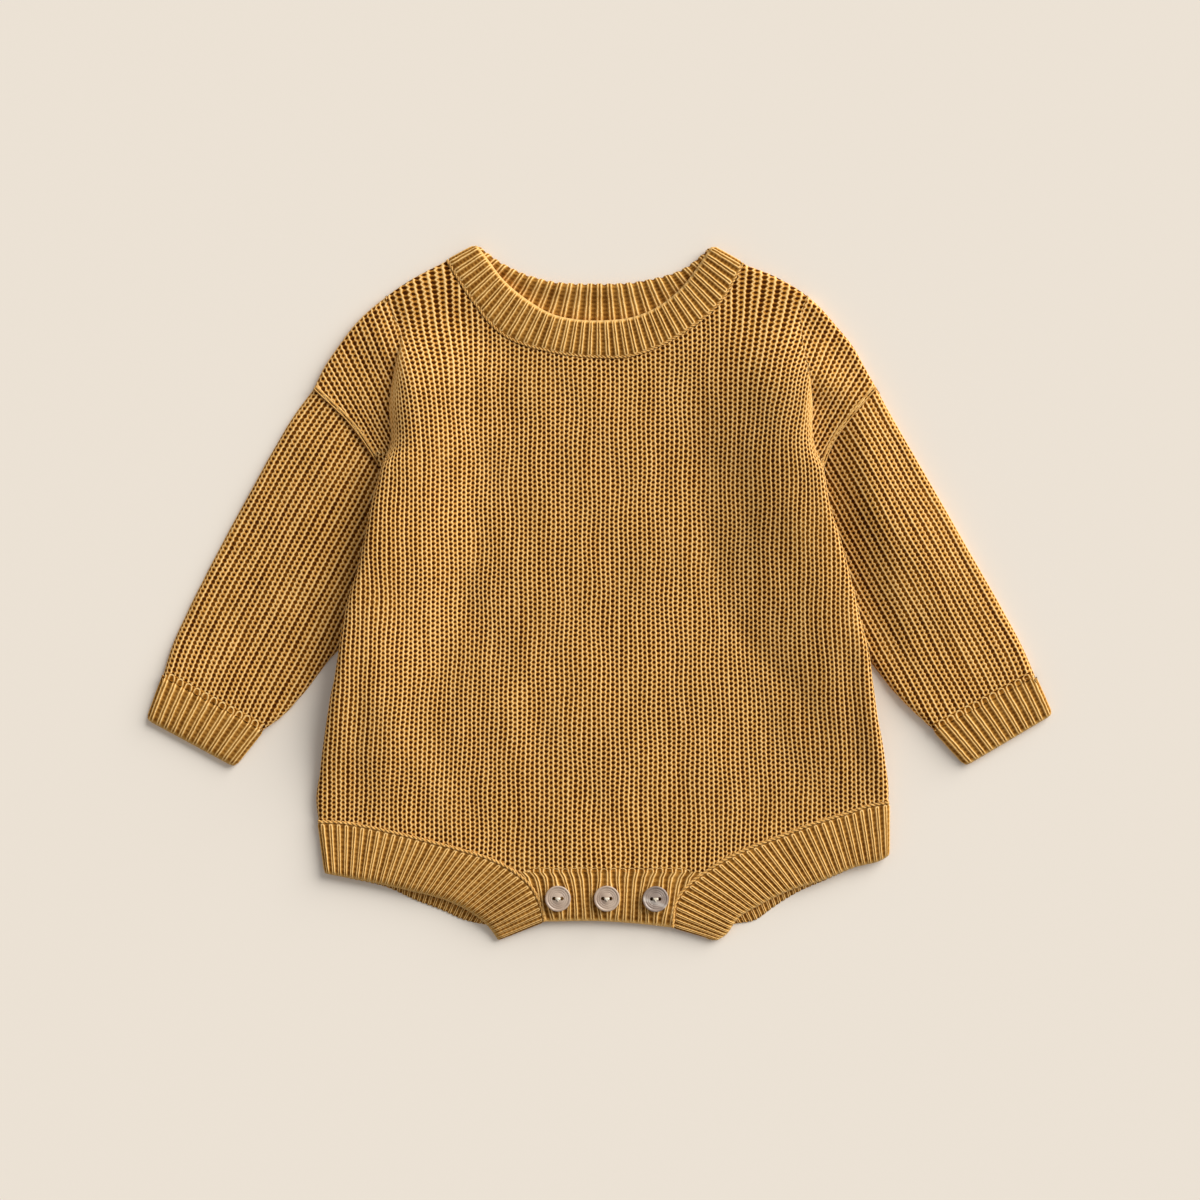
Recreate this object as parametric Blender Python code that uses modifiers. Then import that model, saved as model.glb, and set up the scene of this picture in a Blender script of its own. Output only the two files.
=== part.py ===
"""Baby romper in a chunky ribbed knit, laid flat on its back with its front up.

Sizes are in millimetres, and mesh_object() turns them into metres. X runs across the chest, Y up to
the neck and Z off the surface that the romper lies on. The origin is in the middle of its outline,
on that surface. "Left" is the side at -X. Each piece of cloth is a wall with ribs raised on the face
that shows, over a plain inside. Neighbouring pieces stay SEAM apart where they are sewn together.
"""

from math import pi

import bmesh
import bpy
import numpy as np

# The cloth.
WALL = 2.4  # thickness between two ribs
RELIEF = 0.8  # height of a rib above the cloth beside it
SEAM = 0.4  # gap between two pieces along their curved seams
FRONT_Z = WALL + 0.3  # inside of an upper layer, which lies on a lower one
FOLD = 4.5  # width over which a folded edge rounds down
FOLD_EDGE = 0.15  # share of the thickness that is left at the very edge of a fold
SEAM_EDGE = 0.75  # the same at a sewn edge

# The body's sides lie on the tucked underarms of the sleeves, in two soft ridges.
LIFT = 4.8  # rise of the body over a sleeve
LIFT_CLEAR = 0.4  # more room between the two layers where they rise
LIFT_FLAT, LIFT_END = 8.0, 50.0  # distances in from the side where the rise starts to fade, and ends
LIFT_LOW, LIFT_LOW_FULL = -68.0, -36.0  # heights where the rise begins below the underarm
LIFT_HIGH_FULL, LIFT_HIGH = 61.0, 85.0  # and where it fades above it
RIDGE = 4.4  # height of the fold that runs on from each underarm to the shoulder
RIDGE_TOP = 131.0
RIDGE_FALL = 4.0  # width of its steep outer face
ARMPIT = 61.0  # height where the armhole seam runs in under the body
CHEST = 44.0  # height where the armholes end in the body's construction
CHEST_DRAW = 3.0  # how far the neck's outer ribs are drawn in at that height
ARMPIT_BLEND = (55.0, 64.0)  # heights between which the folded side becomes a sewn armhole

# Ribs across each piece.
SHOULDER_RIBS, NECK_RIBS = 12, 32
SLEEVE_RIBS, CUFF_RIBS = 14, 11
NECKBAND_FRONT_RIBS, NECKBAND_BACK_RIBS = 40, 26
LEG_FRONT_RIBS, LEG_BACK_RIBS = 32, 26
PLACKET_RIBS = 16

# Outlines, as (x, y) points of smooth curves.
NECK_SEAM = ((-76.5, 166), (-65, 148), (-48.5, 129), (-23, 120), (-2.5, 117.5), (15.5, 118),
             (28, 122), (41, 129), (60, 144), (72.5, 164.5))
NECK_EDGE = ((-61.5, 174), (-56, 167), (-48.5, 157), (-35.5, 146), (-23, 139), (-10, 136.3),
             (2.5, 136), (15.5, 137.3), (28, 142), (41, 152), (49.5, 163), (56.5, 173.5))
BACK_NECK_SEAM = ((-76.5, 166), (-64.5, 154), (-48.5, 143), (-23, 137), (-2.5, 135), (15.5, 136),
                  (28, 139), (45.5, 147), (61.5, 156), (72.5, 164.5))
BACK_NECK_EDGE = ((-61.5, 174), (-52.5, 167), (-39.5, 160), (-23, 155.3), (-2.5, 154.3),
                  (15.5, 154.8), (28, 157), (41, 161), (51, 168), (56.5, 173.5))
PLACKET_TOP_Y = -140.0
PLACKET_BOTTOM = ((-27, -164.5), (0.5, -164.3), (20.5, -165.7), (36.5, -167))
PLACKET_BACK_TOP_Y = -144.0
PLACKET_CLEAR = 0.7  # across, from the slanted seams of the leg bands
PLACKET_ROWS = ((0, 0.85), (0.06, 1), (0.35, 1), (0.65, 1), (0.94, 0.95), (1, 0.55))  # as for cuffs
PLACKET_BACK_SHORTER = 0.5

SIDES = {
    "l": {
        "toward": -1.0,
        "shoulder": ((-143, 102), (-137, 114), (-131.5, 122), (-122.5, 134), (-109.5, 146),
                     (-92, 158), (-76.5, 166)),
        "armhole": ((-143, 102), (-124.5, 84), (-108.5, 61), (-113, CHEST)),
        "side": ((-108.5, 61), (-113, CHEST), (-116.5, 27), (-120, 11), (-124.5, -3), (-128, -20),
                 (-131, -40), (-134, -54), (-136.5, -69), (-139.5, -89), (-141.5, -104),
                 (-140.5, -114.5)),
        "crease": ((-108.5, 61), (-104, 76), (-105, 93), (-102.5, 111), (-99.5, 131)),
        "leg_seam": ((-140.5, -114.5), (-129, -115), (-114, -117.5), (-98.5, -121), (-83, -125),
                     (-68, -129), (-52.5, -134), (-42.5, -139.5), (-34, -147), (-29, -157),
                     (-27, -164.5)),
        "leg_edge": ((-137, -140.5), (-124, -143), (-108.5, -146), (-93.5, -149.5), (-78, -153.5),
                     (-65, -159.5), (-55.5, -167), (-50.5, -174)),
        "back_leg_seam": ((-140.5, -114.5), (-127, -116), (-99.5, -124), (-74.5, -133),
                          (-49.5, -140), (-29, PLACKET_BACK_TOP_Y)),
        "back_leg_edge": ((-137, -140.5), (-124, -143.5), (-105.5, -148), (-92.5, -154),
                          (-78, -159.5), (-68, -164), (-59.5, -166), (-47, -167)),
        "sleeve_top": ((-143, 102), (-124.5, 84), (-108.5, 61), (-100.5, 50)),
        "sleeve_outer": ((-143, 102), (-152, 90), (-163.5, 71), (-174.5, 51), (-185.5, 31),
                         (-196, 11), (-206, -9), (-214, -27), (-218.5, -42)),
        "sleeve_inner": ((-100.5, 50), (-101.5, 31), (-106.5, 6), (-115.5, -15), (-128, -26),
                         (-136.5, -35), (-143.5, -44.5), (-150, -52.5), (-159.5, -62.5),
                         (-168.5, -69)),
        "cuff_seam": ((-218.5, -42), (-168.5, -69)),
        "cuff_edge": ((-226.5, -63.5), (-183, -87)),
    },
    "r": {
        "toward": 1.0,
        "shoulder": ((139, 102), (132.5, 114), (128, 122), (118.5, 134), (107.5, 146), (89, 158),
                     (72.5, 164.5)),
        "armhole": ((139, 102), (130, 92), (116.5, 73), (112, 61), (115, CHEST)),
        "side": ((112, 61), (115, CHEST), (120.5, 26), (126.5, 3), (131, -16), (135, -32),
                 (136.5, -44), (139, -61), (141.5, -74), (143.5, -86), (145, -99), (145, -105)),
        "crease": ((112, 61), (107, 76), (106.5, 94), (104.5, 111), (101, 131)),
        "leg_seam": ((145, -105), (135.5, -106.5), (122, -111), (106, -116), (90.5, -122),
                     (74.5, -128), (64, -133), (53.5, -139.5), (45, -146), (39, -153.5),
                     (36.5, -165)),
        "leg_edge": ((145, -131.5), (142, -133.5), (127.5, -137.5), (111.5, -144), (95.5, -149),
                     (80, -156.5), (69.5, -163), (63, -172), (59, -174.2)),
        "back_leg_seam": ((145, -105), (120.5, -113), (95.5, -123), (70.5, -134), (50.5, -141),
                          (39, PLACKET_BACK_TOP_Y)),
        "back_leg_edge": ((145, -131.5), (127.5, -138), (111.5, -145), (101, -149.5), (85, -159.5),
                          (79, -164), (68, -166), (54.5, -168)),
        "sleeve_top": ((139, 102), (130, 92), (116.5, 73), (112, 61), (105, 52)),
        "sleeve_outer": ((139, 102), (145.5, 90), (156.5, 71), (168, 51), (179.5, 31), (191, 11),
                         (202.5, -9), (213, -29), (218.5, -42)),
        "sleeve_inner": ((105, 52), (106, 31), (111.5, 6), (121.5, -16), (131, -27), (137, -35.5),
                         (146.5, -48), (156.5, -58.5), (168, -69)),
        "cuff_seam": ((218.5, -42), (168, -69)),
        "cuff_edge": ((227, -61), (184, -86.5)),
    },
}

# Sleeves and cuffs, as flattened tubes.
LOWER_WALL = 1.8  # lower layer, on the surface
SLEEVE_TUCKED = 3.9  # height of the cloth where the body lies on it
SLEEVE_PUFF = 2.2  # how much more it rises outside the body
SLEEVE_PUFF_START, SLEEVE_PUFF_END = 2.0, 18.0  # distances out from the body where it does so
SLEEVE_SEAM_DIP = 1.2  # how far it sinks at a seam
SLEEVE_SEAM_WIDTH = 14.0
TUCKED_RELIEF = 0.4  # share of the relief that is left under the body
TUCKED_FADE = 4.0  # distance out from the body where the ribs have their full relief
SLEEVE_ROWS = (0, 0.03, 0.1, 0.22, 0.36, 0.5, 0.65, 0.8, 0.92, 0.98, 1)  # shares down
CUFF_HEIGHT = 5.1
TUBE_INSET = 2.6  # wall at the folded sides of a tube
TUBE_BOTTOM_INSET = 1.6  # how far the flat underside stays in from those sides
TUBE_EDGE_Z = 2.2  # height of those sides
TUBE_PLAIN_COLUMNS = 7
HOLLOW_RISE = 0.5  # share of a tube's extra height that goes into its hollow
CUFF_ROWS = ((0, 0.9), (0.1, 1), (0.5, 1), (0.9, 0.97), (1, 0.82))  # (share down, share of height)

# Buttons.
BUTTONS = {"button_1": (-20.5, -152.8), "button_2": (3.9, -152.8), "button_3": (28.3, -153.0)}
BUTTON_DIAMETER = 12.9
BUTTON_THICKNESS = 2.8
BUTTON_RIM, BUTTON_RIM_HEIGHT = 1.5, 0.5
BUTTON_HOLE, BUTTON_HOLES_APART = 1.5, 3.6
BUTTON_RIM_SLOPE = 0.5  # width over which the rim rises from the dish, and its flat top's inset
BUTTON_EDGE_TOP, BUTTON_EDGE_BOTTOM = 0.6, 0.9  # heights of the side's slanted top and foot
BUTTON_STEPS = 24
BUTTON_Z = FRONT_Z + WALL + RELIEF + 0.3

KNIT = (0.37, 0.19, 0.045)
RIB_KNIT = (0.40, 0.21, 0.052)
BUTTON_COLOURS = {"button_1": (0.42, 0.34, 0.28), "button_2": (0.44, 0.35, 0.28),
                  "button_3": (0.25, 0.23, 0.22)}


# ---------------------------------------------------------------- curves and grids

def ramp(value, start, end):
    """0 before start, 1 after end, and a smooth rise between them."""
    share = np.clip((value - start) / (end - start), 0, 1)
    return share * share * (3 - 2 * share)


def smooth(points, shares):
    """Points at these shares of the length of a smooth curve through the given ones."""
    knots = np.array(points, float)
    chords = np.linalg.norm(np.diff(knots, axis=0), axis=1)
    at = np.concatenate([[0], np.cumsum(chords)]) / chords.sum()
    slopes = np.gradient(knots, at, axis=0)
    shares = np.asarray(shares, float)
    i = np.clip(np.searchsorted(at, shares, side="right") - 1, 0, len(at) - 2)
    step = (at[i + 1] - at[i])[:, None]
    f = (shares - at[i])[:, None] / step
    return ((2 * f**3 - 3 * f**2 + 1) * knots[i] + (f**3 - 2 * f**2 + f) * step * slopes[i]
            + (3 * f**2 - 2 * f**3) * knots[i + 1] + (f**3 - f**2) * step * slopes[i + 1])


def y_at(points, x):
    """Height of a curve that runs across, at each x."""
    dense = smooth(points, np.linspace(0, 1, 400))
    dense = dense[np.argsort(dense[:, 0])]
    return np.interp(x, dense[:, 0], dense[:, 1])


def x_at(points, y):
    """Place across of a curve that runs down, at each height."""
    dense = smooth(points, np.linspace(0, 1, 400))
    dense = dense[np.argsort(dense[:, 1])]
    return np.interp(y, dense[:, 1], dense[:, 0])


def patch(top, bottom, left, right, across, down):
    """Grid of plan points, rows down and columns across, between four edges that meet at their ends.

    across holds each column's share of the way from left to right, down each row's from the top."""
    u, v = across[None, :, None], down[:, None, None]
    corners = ((1 - u) * (1 - v) * top[0] + u * (1 - v) * top[-1]
               + (1 - u) * v * bottom[0] + u * v * bottom[-1])
    return ((1 - v) * top[None] + v * bottom[None]
            + (1 - u) * left[:, None] + u * right[:, None] - corners)


def rib_columns(ribs, edge_steps=()):
    """Places of a piece's columns, in ribs: each rib's valley and peak, and more at the two edges."""
    inner = np.arange(0, 2 * ribs + 1) / 2
    return np.unique(np.concatenate([inner, edge_steps, ribs - np.array(edge_steps)]))


def rib_height(columns):
    """0 in a valley, 1 on a peak."""
    return 0.5 - 0.5 * np.cos(2 * pi * columns)


def edge_share(distance, edge):
    """Thickness of a rounded edge, as a share: this much at the edge itself, and all of it inside."""
    inside = 1 - np.clip(distance / FOLD, 0, 1)
    return edge + (1 - edge) * np.sqrt(1 - inside * inside)


def run_lengths(grid, axis):
    """How far each point of a plan grid is along its row or column."""
    steps = np.linalg.norm(np.diff(grid, axis=axis), axis=2)
    zero = np.zeros_like(np.take(steps, [0], axis=axis))
    return np.cumsum(np.concatenate([zero, steps], axis=axis), axis=axis)


# ---------------------------------------------------------------- meshes

class Shell:
    """Points and faces of one closed wall."""

    def __init__(self):
        self.points, self.faces = [], []

    def add(self, points):
        """Adds an array of points and returns the array of their numbers."""
        points = np.asarray(points, float)
        start = len(self.points)
        self.points.extend(points.reshape(-1, 3))
        return start + np.arange(points[..., 0].size).reshape(points.shape[:-1])

    def grid(self, rows, around=False):
        """Quads between neighbouring rows of numbers, and from each row's end to its start if around."""
        for upper, lower in zip(rows[:-1], rows[1:]):
            if around:
                upper, lower = np.append(upper, upper[0]), np.append(lower, lower[0])
            for i in range(len(upper) - 1):
                self.faces.append((upper[i], upper[i + 1], lower[i + 1], lower[i]))

    def lace(self, a, b):
        """Triangles between two lines of numbers that run side by side and may differ in count."""
        i = j = 0
        while i < len(a) - 1 or j < len(b) - 1:
            step_a = (i + 1) / (len(a) - 1) <= (j + 1) / (len(b) - 1)
            if j == len(b) - 1 or (step_a and i < len(a) - 1):
                self.faces.append((a[i], a[i + 1], b[j]))
                i += 1
            else:
                self.faces.append((a[i], b[j + 1], b[j]))
                j += 1


def material(name, colour, roughness):
    made = bpy.data.materials.new(name)
    made.use_nodes = True
    shader = made.node_tree.nodes["Principled BSDF"]
    shader.inputs["Base Color"].default_value = (*colour, 1)
    shader.inputs["Roughness"].default_value = roughness
    shader.inputs["Metallic"].default_value = 0
    made.diffuse_color = (*colour, 1)
    return made


def mesh_object(name, shell, finish, collection):
    mesh = bpy.data.meshes.new(name)
    points = [tuple(point) for point in np.array(shell.points) / 1000]
    mesh.from_pydata(points, [], [tuple(map(int, face)) for face in shell.faces])
    work = bmesh.new()
    work.from_mesh(mesh)
    bmesh.ops.triangulate(work, faces=work.faces)
    bmesh.ops.recalc_face_normals(work, faces=work.faces)
    work.to_mesh(mesh)
    work.free()
    mesh.materials.append(finish)
    mesh.shade_smooth()
    made = bpy.data.objects.new(name, mesh)
    collection.objects.link(made)
    return made


def slab(upper, lower):
    """A closed wall between two grids of points over one outline. The lower may have fewer columns."""
    shell = Shell()
    top, bottom = shell.add(upper), shell.add(lower)
    shell.grid(top)
    shell.grid(bottom)
    for a, b in ((top[0], bottom[0]), (top[-1], bottom[-1]),
                 (top[:, 0], bottom[:, 0]), (top[:, -1], bottom[:, -1])):
        shell.lace(a, b)
    return shell


# ---------------------------------------------------------------- how the body lies

def inward(side, x, y):
    """Distance in from the body's edge on one side: its armhole above the armpit, its side below."""
    table = SIDES[side]
    edge = np.where(y > ARMPIT, x_at(table["armhole"][:-1], y), x_at(table["side"], y))
    return (edge - x) * table["toward"]


def lift(x, y):
    """Height of the lower layer's underside, over the sleeves tucked under the body."""
    along = ramp(y, LIFT_LOW, LIFT_LOW_FULL) * (1 - ramp(y, LIFT_HIGH_FULL, LIFT_HIGH))
    across = [1 - ramp(inward(side, x, y), LIFT_FLAT, LIFT_END) for side in SIDES]
    return LIFT * along * np.maximum(*across)


def ridge(x, y):
    """Height of the folds from underarm to shoulder, steep on their outer faces."""
    fade = 1 - ramp(y, ARMPIT, RIDGE_TOP)
    folds = []
    for table in SIDES.values():
        past = (x_at(table["crease"], y) - x) * table["toward"]
        outer = 1 - ramp(-past, 0, RIDGE_FALL)
        folds.append(outer * (1 - ramp(past, LIFT_FLAT, LIFT_END)))
    return np.where(y > ARMPIT, RIDGE * fade * np.maximum(*folds), 0)


def front_floor(x, y):
    """Height of the front panel's inside."""
    under = lift(x, y)
    return FRONT_Z + np.maximum(under + np.minimum(under, LIFT_CLEAR), ridge(x, y))


# ---------------------------------------------------------------- front and back panels

BODY_RIBS = 2 * SHOULDER_RIBS + NECK_RIBS
EDGE_STEPS = (0.12, 0.28)
INSIDE_COLUMNS = 35  # of a plain face
INSIDE_EVERY = 4  # columns of the placket's outer face for each one inside
UPPER_ROWS = np.array([0, 0.014, 0.045, 0.16, 0.33, 0.5, 0.67, 0.84, 1])
LOWER_ROWS = np.array([0.16, 0.34, 0.5, 0.64, 0.8, 0.97, 1])


def shares_in_thirds(columns, left, middle_start, middle_end, right):
    """Places across for columns in ribs: even in each shoulder's ribs and in the neck's."""
    marks = (0, SHOULDER_RIBS, SHOULDER_RIBS + NECK_RIBS, BODY_RIBS)
    return np.interp(columns, marks, (left, middle_start, middle_end, right))


def top_line(columns, neck):
    """Up the left shoulder, along the neck seam and down the right shoulder."""
    x = shares_in_thirds(columns, 0, neck[0][0], neck[-1][0], 0)
    line = np.stack([x, y_at(neck, x)], axis=1)
    left = columns < SHOULDER_RIBS
    right = columns > SHOULDER_RIBS + NECK_RIBS
    line[left] = smooth(SIDES["l"]["shoulder"], columns[left] / SHOULDER_RIBS)
    line[right] = smooth(SIDES["r"]["shoulder"], (BODY_RIBS - columns[right]) / SHOULDER_RIBS)
    return line


def body_grid(columns, neck, hem):
    """Plan points of a body panel. hem gives the height of its lower edge at each x."""
    left, right = SIDES["l"], SIDES["r"]
    across = columns / BODY_RIBS
    top = top_line(columns, neck)
    chest_left, chest_right = left["armhole"][-1][0], right["armhole"][-1][0]
    chest_x = shares_in_thirds(columns, chest_left, neck[0][0] + CHEST_DRAW,
                               neck[-1][0] - CHEST_DRAW, chest_right)
    chest = np.stack([chest_x, np.full_like(chest_x, CHEST)], axis=1)
    upper = patch(top, chest, smooth(left["armhole"], UPPER_ROWS),
                  smooth(right["armhole"], UPPER_ROWS), across, UPPER_ROWS)
    hem_x = shares_in_thirds(columns, left["side"][-1][0], neck[0][0], neck[-1][0],
                             right["side"][-1][0])
    bottom = np.stack([hem_x, hem(hem_x)], axis=1)
    sides = []
    for table in (left, right):
        end_y = table["side"][-1][1]
        y = CHEST + (end_y - CHEST) * np.append(0, LOWER_ROWS)
        sides.append(np.stack([x_at(table["side"], y), y], axis=1))
    lower = patch(chest, bottom, sides[0], sides[1], across, np.append(0, LOWER_ROWS))
    return np.concatenate([upper, lower[1:]])


def front_hem(x):
    legs = np.where(x < 0, y_at(SIDES["l"]["leg_seam"], x), y_at(SIDES["r"]["leg_seam"], x))
    return np.maximum(legs, PLACKET_TOP_Y) + SEAM / 2


def back_hem(x):
    legs = np.where(x < 0, y_at(SIDES["l"]["back_leg_seam"], x),
                    y_at(SIDES["r"]["back_leg_seam"], x))
    return legs + SEAM / 2


def coarse_of(columns):
    """Numbers of the columns that a plain face keeps."""
    return np.linspace(0, len(columns) - 1, INSIDE_COLUMNS).round().astype(int)


def front_panel():
    columns = rib_columns(BODY_RIBS, EDGE_STEPS)
    plan = body_grid(columns, NECK_SEAM, front_hem)
    x, y = plan[..., 0], plan[..., 1]
    along, down = run_lengths(plan, 1), run_lengths(plan, 0)
    from_side = np.minimum(along, along[:, -1:] - along)
    side_edge = FOLD_EDGE + (SEAM_EDGE - FOLD_EDGE) * ramp(y, *ARMPIT_BLEND)
    shoulder = (columns < SHOULDER_RIBS) | (columns > SHOULDER_RIBS + NECK_RIBS)
    top_edge = np.where(shoulder, FOLD_EDGE, SEAM_EDGE)[None]
    share = edge_share(from_side, side_edge) * edge_share(down, top_edge)
    share = share * edge_share(down[-1:] - down, SEAM_EDGE)
    floor = front_floor(x, y)
    z = floor + (WALL + RELIEF * rib_height(columns)[None]) * share
    return slab(np.dstack([x, y, z]), np.dstack([x, y, floor])[:, coarse_of(columns)])


def back_panel():
    columns = rib_columns(BODY_RIBS, EDGE_STEPS)
    columns = columns[coarse_of(columns)]
    plan = body_grid(columns, BACK_NECK_SEAM, back_hem)
    x, y = plan[..., 0], plan[..., 1]
    under = lift(x, y)
    return slab(np.dstack([x, y, under + WALL]), np.dstack([x, y, under]))


# ---------------------------------------------------------------- sleeves and cuffs

def tube(plan, columns, height, relief):
    """A flattened tube, open at both ends, over a plan grid whose columns run from end to end.

    height gives each plan point its cloth's height, and relief how much higher a rib is."""
    along = run_lengths(plan, 1)
    width = along[:, -1:]
    share = edge_share(np.minimum(along, width - along), FOLD_EDGE)
    top_z = TUBE_EDGE_Z + (height - TUBE_EDGE_Z + relief * rib_height(columns)[None]) * share

    count = TUBE_PLAIN_COLUMNS

    def line(inset):
        """Rows of points from one side to the other along the plan's own curve, this far in."""
        rows = []
        for points, run in zip(plan, along):
            at = np.linspace(inset, run[-1] - inset, count)
            rows.append(np.stack([np.interp(at, run, points[:, k]) for k in (0, 1)], axis=1))
        return np.array(rows)

    def with_z(points, z):
        return np.dstack([points, np.broadcast_to(z, points.shape[:2])])

    under = line(TUBE_BOTTOM_INSET)
    outer = np.concatenate([np.dstack([plan, top_z]), with_z(under, 0)[:, ::-1]], axis=1)
    hollow = line(TUBE_INSET)
    middle = np.linspace(0, len(columns) - 1, count).round().astype(int)
    roof = LOWER_WALL + SEAM + (height[:, middle] - SLEEVE_TUCKED) * HOLLOW_RISE
    roof[:, [0, -1]] = LOWER_WALL + SEAM
    inner = np.concatenate([with_z(hollow, roof), with_z(hollow, LOWER_WALL)[:, ::-1]], axis=1)
    shell = Shell()
    outer, inner = shell.add(outer), shell.add(inner)
    shell.grid(outer, around=True)
    shell.grid(inner, around=True)
    top = len(columns)
    for row in (0, -1):
        a, b = outer[row], inner[row]
        shell.lace(a[:top], b[:count])
        shell.lace(a[top:], b[count:])
        shell.faces.append((a[top - 1], a[top], b[count], b[count - 1]))
        shell.faces.append((a[-1], a[0], b[0], b[-1]))
    return shell


def sleeve(side):
    table = SIDES[side]
    columns = rib_columns(SLEEVE_RIBS, EDGE_STEPS)
    across = columns / SLEEVE_RIBS
    down = np.array(SLEEVE_ROWS)
    ends = np.array([table["sleeve_top"][0], table["cuff_seam"][0]], float)
    axis = (ends[1] - ends[0]) / np.linalg.norm(ends[1] - ends[0])
    plan = patch(smooth(table["sleeve_top"], across), smooth(table["cuff_seam"], across),
                 smooth(table["sleeve_outer"], down), smooth(table["sleeve_inner"], down),
                 across, down)
    plan[0] += axis * SEAM
    plan[-1] -= axis * SEAM / 2
    x, y = plan[..., 0], plan[..., 1]
    outside = -inward(side, x, y)
    from_seam = run_lengths(plan, 0)
    to_seam = np.minimum(from_seam, from_seam[-1:] - from_seam)
    puff = SLEEVE_PUFF * ramp(outside, SLEEVE_PUFF_START, SLEEVE_PUFF_END)
    dip = SLEEVE_SEAM_DIP * (1 - ramp(to_seam, 0, SLEEVE_SEAM_WIDTH))
    height = SLEEVE_TUCKED + np.maximum(puff - dip, 0)
    free = TUCKED_RELIEF + (1 - TUCKED_RELIEF) * ramp(outside, 0, TUCKED_FADE)
    return tube(plan, columns, height, RELIEF * free)


def cuff(side):
    table = SIDES[side]
    columns = rib_columns(CUFF_RIBS, EDGE_STEPS)
    across = columns / CUFF_RIBS
    down, share = np.array(CUFF_ROWS).T
    seam, edge = smooth(table["cuff_seam"], across), smooth(table["cuff_edge"], across)
    plan = patch(seam, edge, seam[0] + np.outer(down, edge[0] - seam[0]),
                 seam[-1] + np.outer(down, edge[-1] - seam[-1]), across, down)
    axis = (edge[0] - seam[0]) / np.linalg.norm(edge[0] - seam[0])
    plan[0] += axis * SEAM / 2
    height = np.broadcast_to(CUFF_HEIGHT * share[:, None], plan.shape[:2])
    return tube(plan, columns, height, RELIEF)


# ---------------------------------------------------------------- bands

FOLD_GAP = FRONT_Z - WALL  # between a band's two layers
BAND_AXIS_Z = WALL + FOLD_GAP / 2  # height that a band's folds turn round
FOLD_INSET = FOLD_GAP / 2 + WALL + RELIEF / 2  # from that axis out to the fold's silhouette
FOLD_TURNS = (0.25, 0.5, 0.75)  # sections round a fold, in half turns
BAND_EDGE_ROUND = 1.3
BAND_SEAM = 0.5  # from a band's seam curve to its cloth


def band_section(seam, edge, out, turn, outer_raised, inner_sunk):
    """The five corners of a band's cross-section.

    turn is 0 where the band is the upper layer and pi where it is the lower one. In between it goes
    round a fold, whose plan direction is out. A rib raises the outer face, and a valley sinks the
    inner one, each as a share of the relief."""
    across = (edge - seam) / np.linalg.norm(edge - seam)
    seam = seam + across * BAND_SEAM
    normal = np.array([out[0] * np.sin(turn), out[1] * np.sin(turn), np.cos(turn)])

    def place(plan, distance):
        return np.array([plan[0], plan[1], BAND_AXIS_Z]) + normal * distance

    inner = FOLD_GAP / 2 + inner_sunk * RELIEF
    outer = FOLD_GAP / 2 + WALL + outer_raised * RELIEF
    inside = edge - across * BAND_EDGE_ROUND
    middle = (FOLD_GAP + WALL) / 2
    return [place(seam, outer), place(inside, outer), place(edge, middle), place(inside, inner),
            place(seam, inner)]


def fold_direction(seam, edge, centre):
    """Plan direction out over a fold that runs from seam to edge, away from the band's centre."""
    along = edge - seam
    out = np.array([along[1], -along[0]]) / np.linalg.norm(along)
    return out if np.dot(out, seam - centre) > 0 else -out


def band(front, back, folds, ribs, back_ribs, centre):
    """A ribbed band, from (seam, edge) curves of its upper and its lower layer.

    With two folds it is a closed ring, and with one it is a strip that starts at the upper layer's
    far end. The fold at the curves' first points always exists."""
    shell = Shell()

    def plan_of(curves, count):
        """Plan points of one layer's seam and edge, from one fold to the other or to the end."""
        columns = rib_columns(count)
        shares = columns / count
        ends = []
        for curve in curves:
            length = np.linalg.norm(np.diff(curve, axis=0), axis=1).sum()
            first, last = FOLD_INSET / length, 1 - (folds - 1) * FOLD_INSET / length
            ends.append(smooth(curve, first + (last - first) * shares))
        return ends

    upper_ends, lower_ends = plan_of(front, ribs), plan_of(back, back_ribs)
    upper = [band_section(seam, edge, (0, 0), 0, peak, 0)
             for seam, edge, peak in zip(*upper_ends, rib_height(rib_columns(ribs)))]
    lower = [band_section(seam, edge, (0, 0), pi, 0, 1 - peak)
             for seam, edge, peak in zip(*lower_ends, rib_height(rib_columns(back_ribs)))]

    def fold(end, turns):
        """Sections round a fold, from the upper layer's plan place to the lower one's."""
        for turn in turns:
            share = turn / pi
            seam, edge = (upper_ends[i][end] * (1 - share) + lower_ends[i][end] * share
                          for i in (0, 1))
            yield band_section(seam, edge, fold_direction(seam, edge, centre), turn, 0.5, 0)

    turns = pi * np.array(FOLD_TURNS)
    sections = upper[::-1] + list(fold(0, turns)) + lower
    if folds == 2:
        sections += list(fold(-1, turns[::-1]))
    sections = np.array(sections)
    sections[..., 2] = np.maximum(sections[..., 2], 0)
    rings = shell.add(sections)
    if folds == 2:
        rings = np.concatenate([rings, rings[:1]])
    shell.grid(rings, around=True)
    if folds == 1:
        shell.faces.append(tuple(rings[0]))
        shell.faces.append(tuple(rings[-1]))
    return shell


def neckband():
    return band((NECK_SEAM, NECK_EDGE), (BACK_NECK_SEAM, BACK_NECK_EDGE), 2,
                NECKBAND_FRONT_RIBS, NECKBAND_BACK_RIBS, np.array([0, 140]))


def leg_band(side):
    table = SIDES[side]
    return band((table["leg_seam"], table["leg_edge"]),
                (table["back_leg_seam"], table["back_leg_edge"]), 1,
                LEG_FRONT_RIBS, LEG_BACK_RIBS, np.array([0, -120]))


# ---------------------------------------------------------------- placket and buttons

def placket_sides(y, seam_name):
    """The leg bands' seams on both sides of the placket, at these heights."""
    left = x_at(SIDES["l"][seam_name], y) + PLACKET_CLEAR
    right = x_at(SIDES["r"][seam_name], y) - PLACKET_CLEAR
    return np.stack([left, y], axis=1), np.stack([right, y], axis=1)


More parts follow.
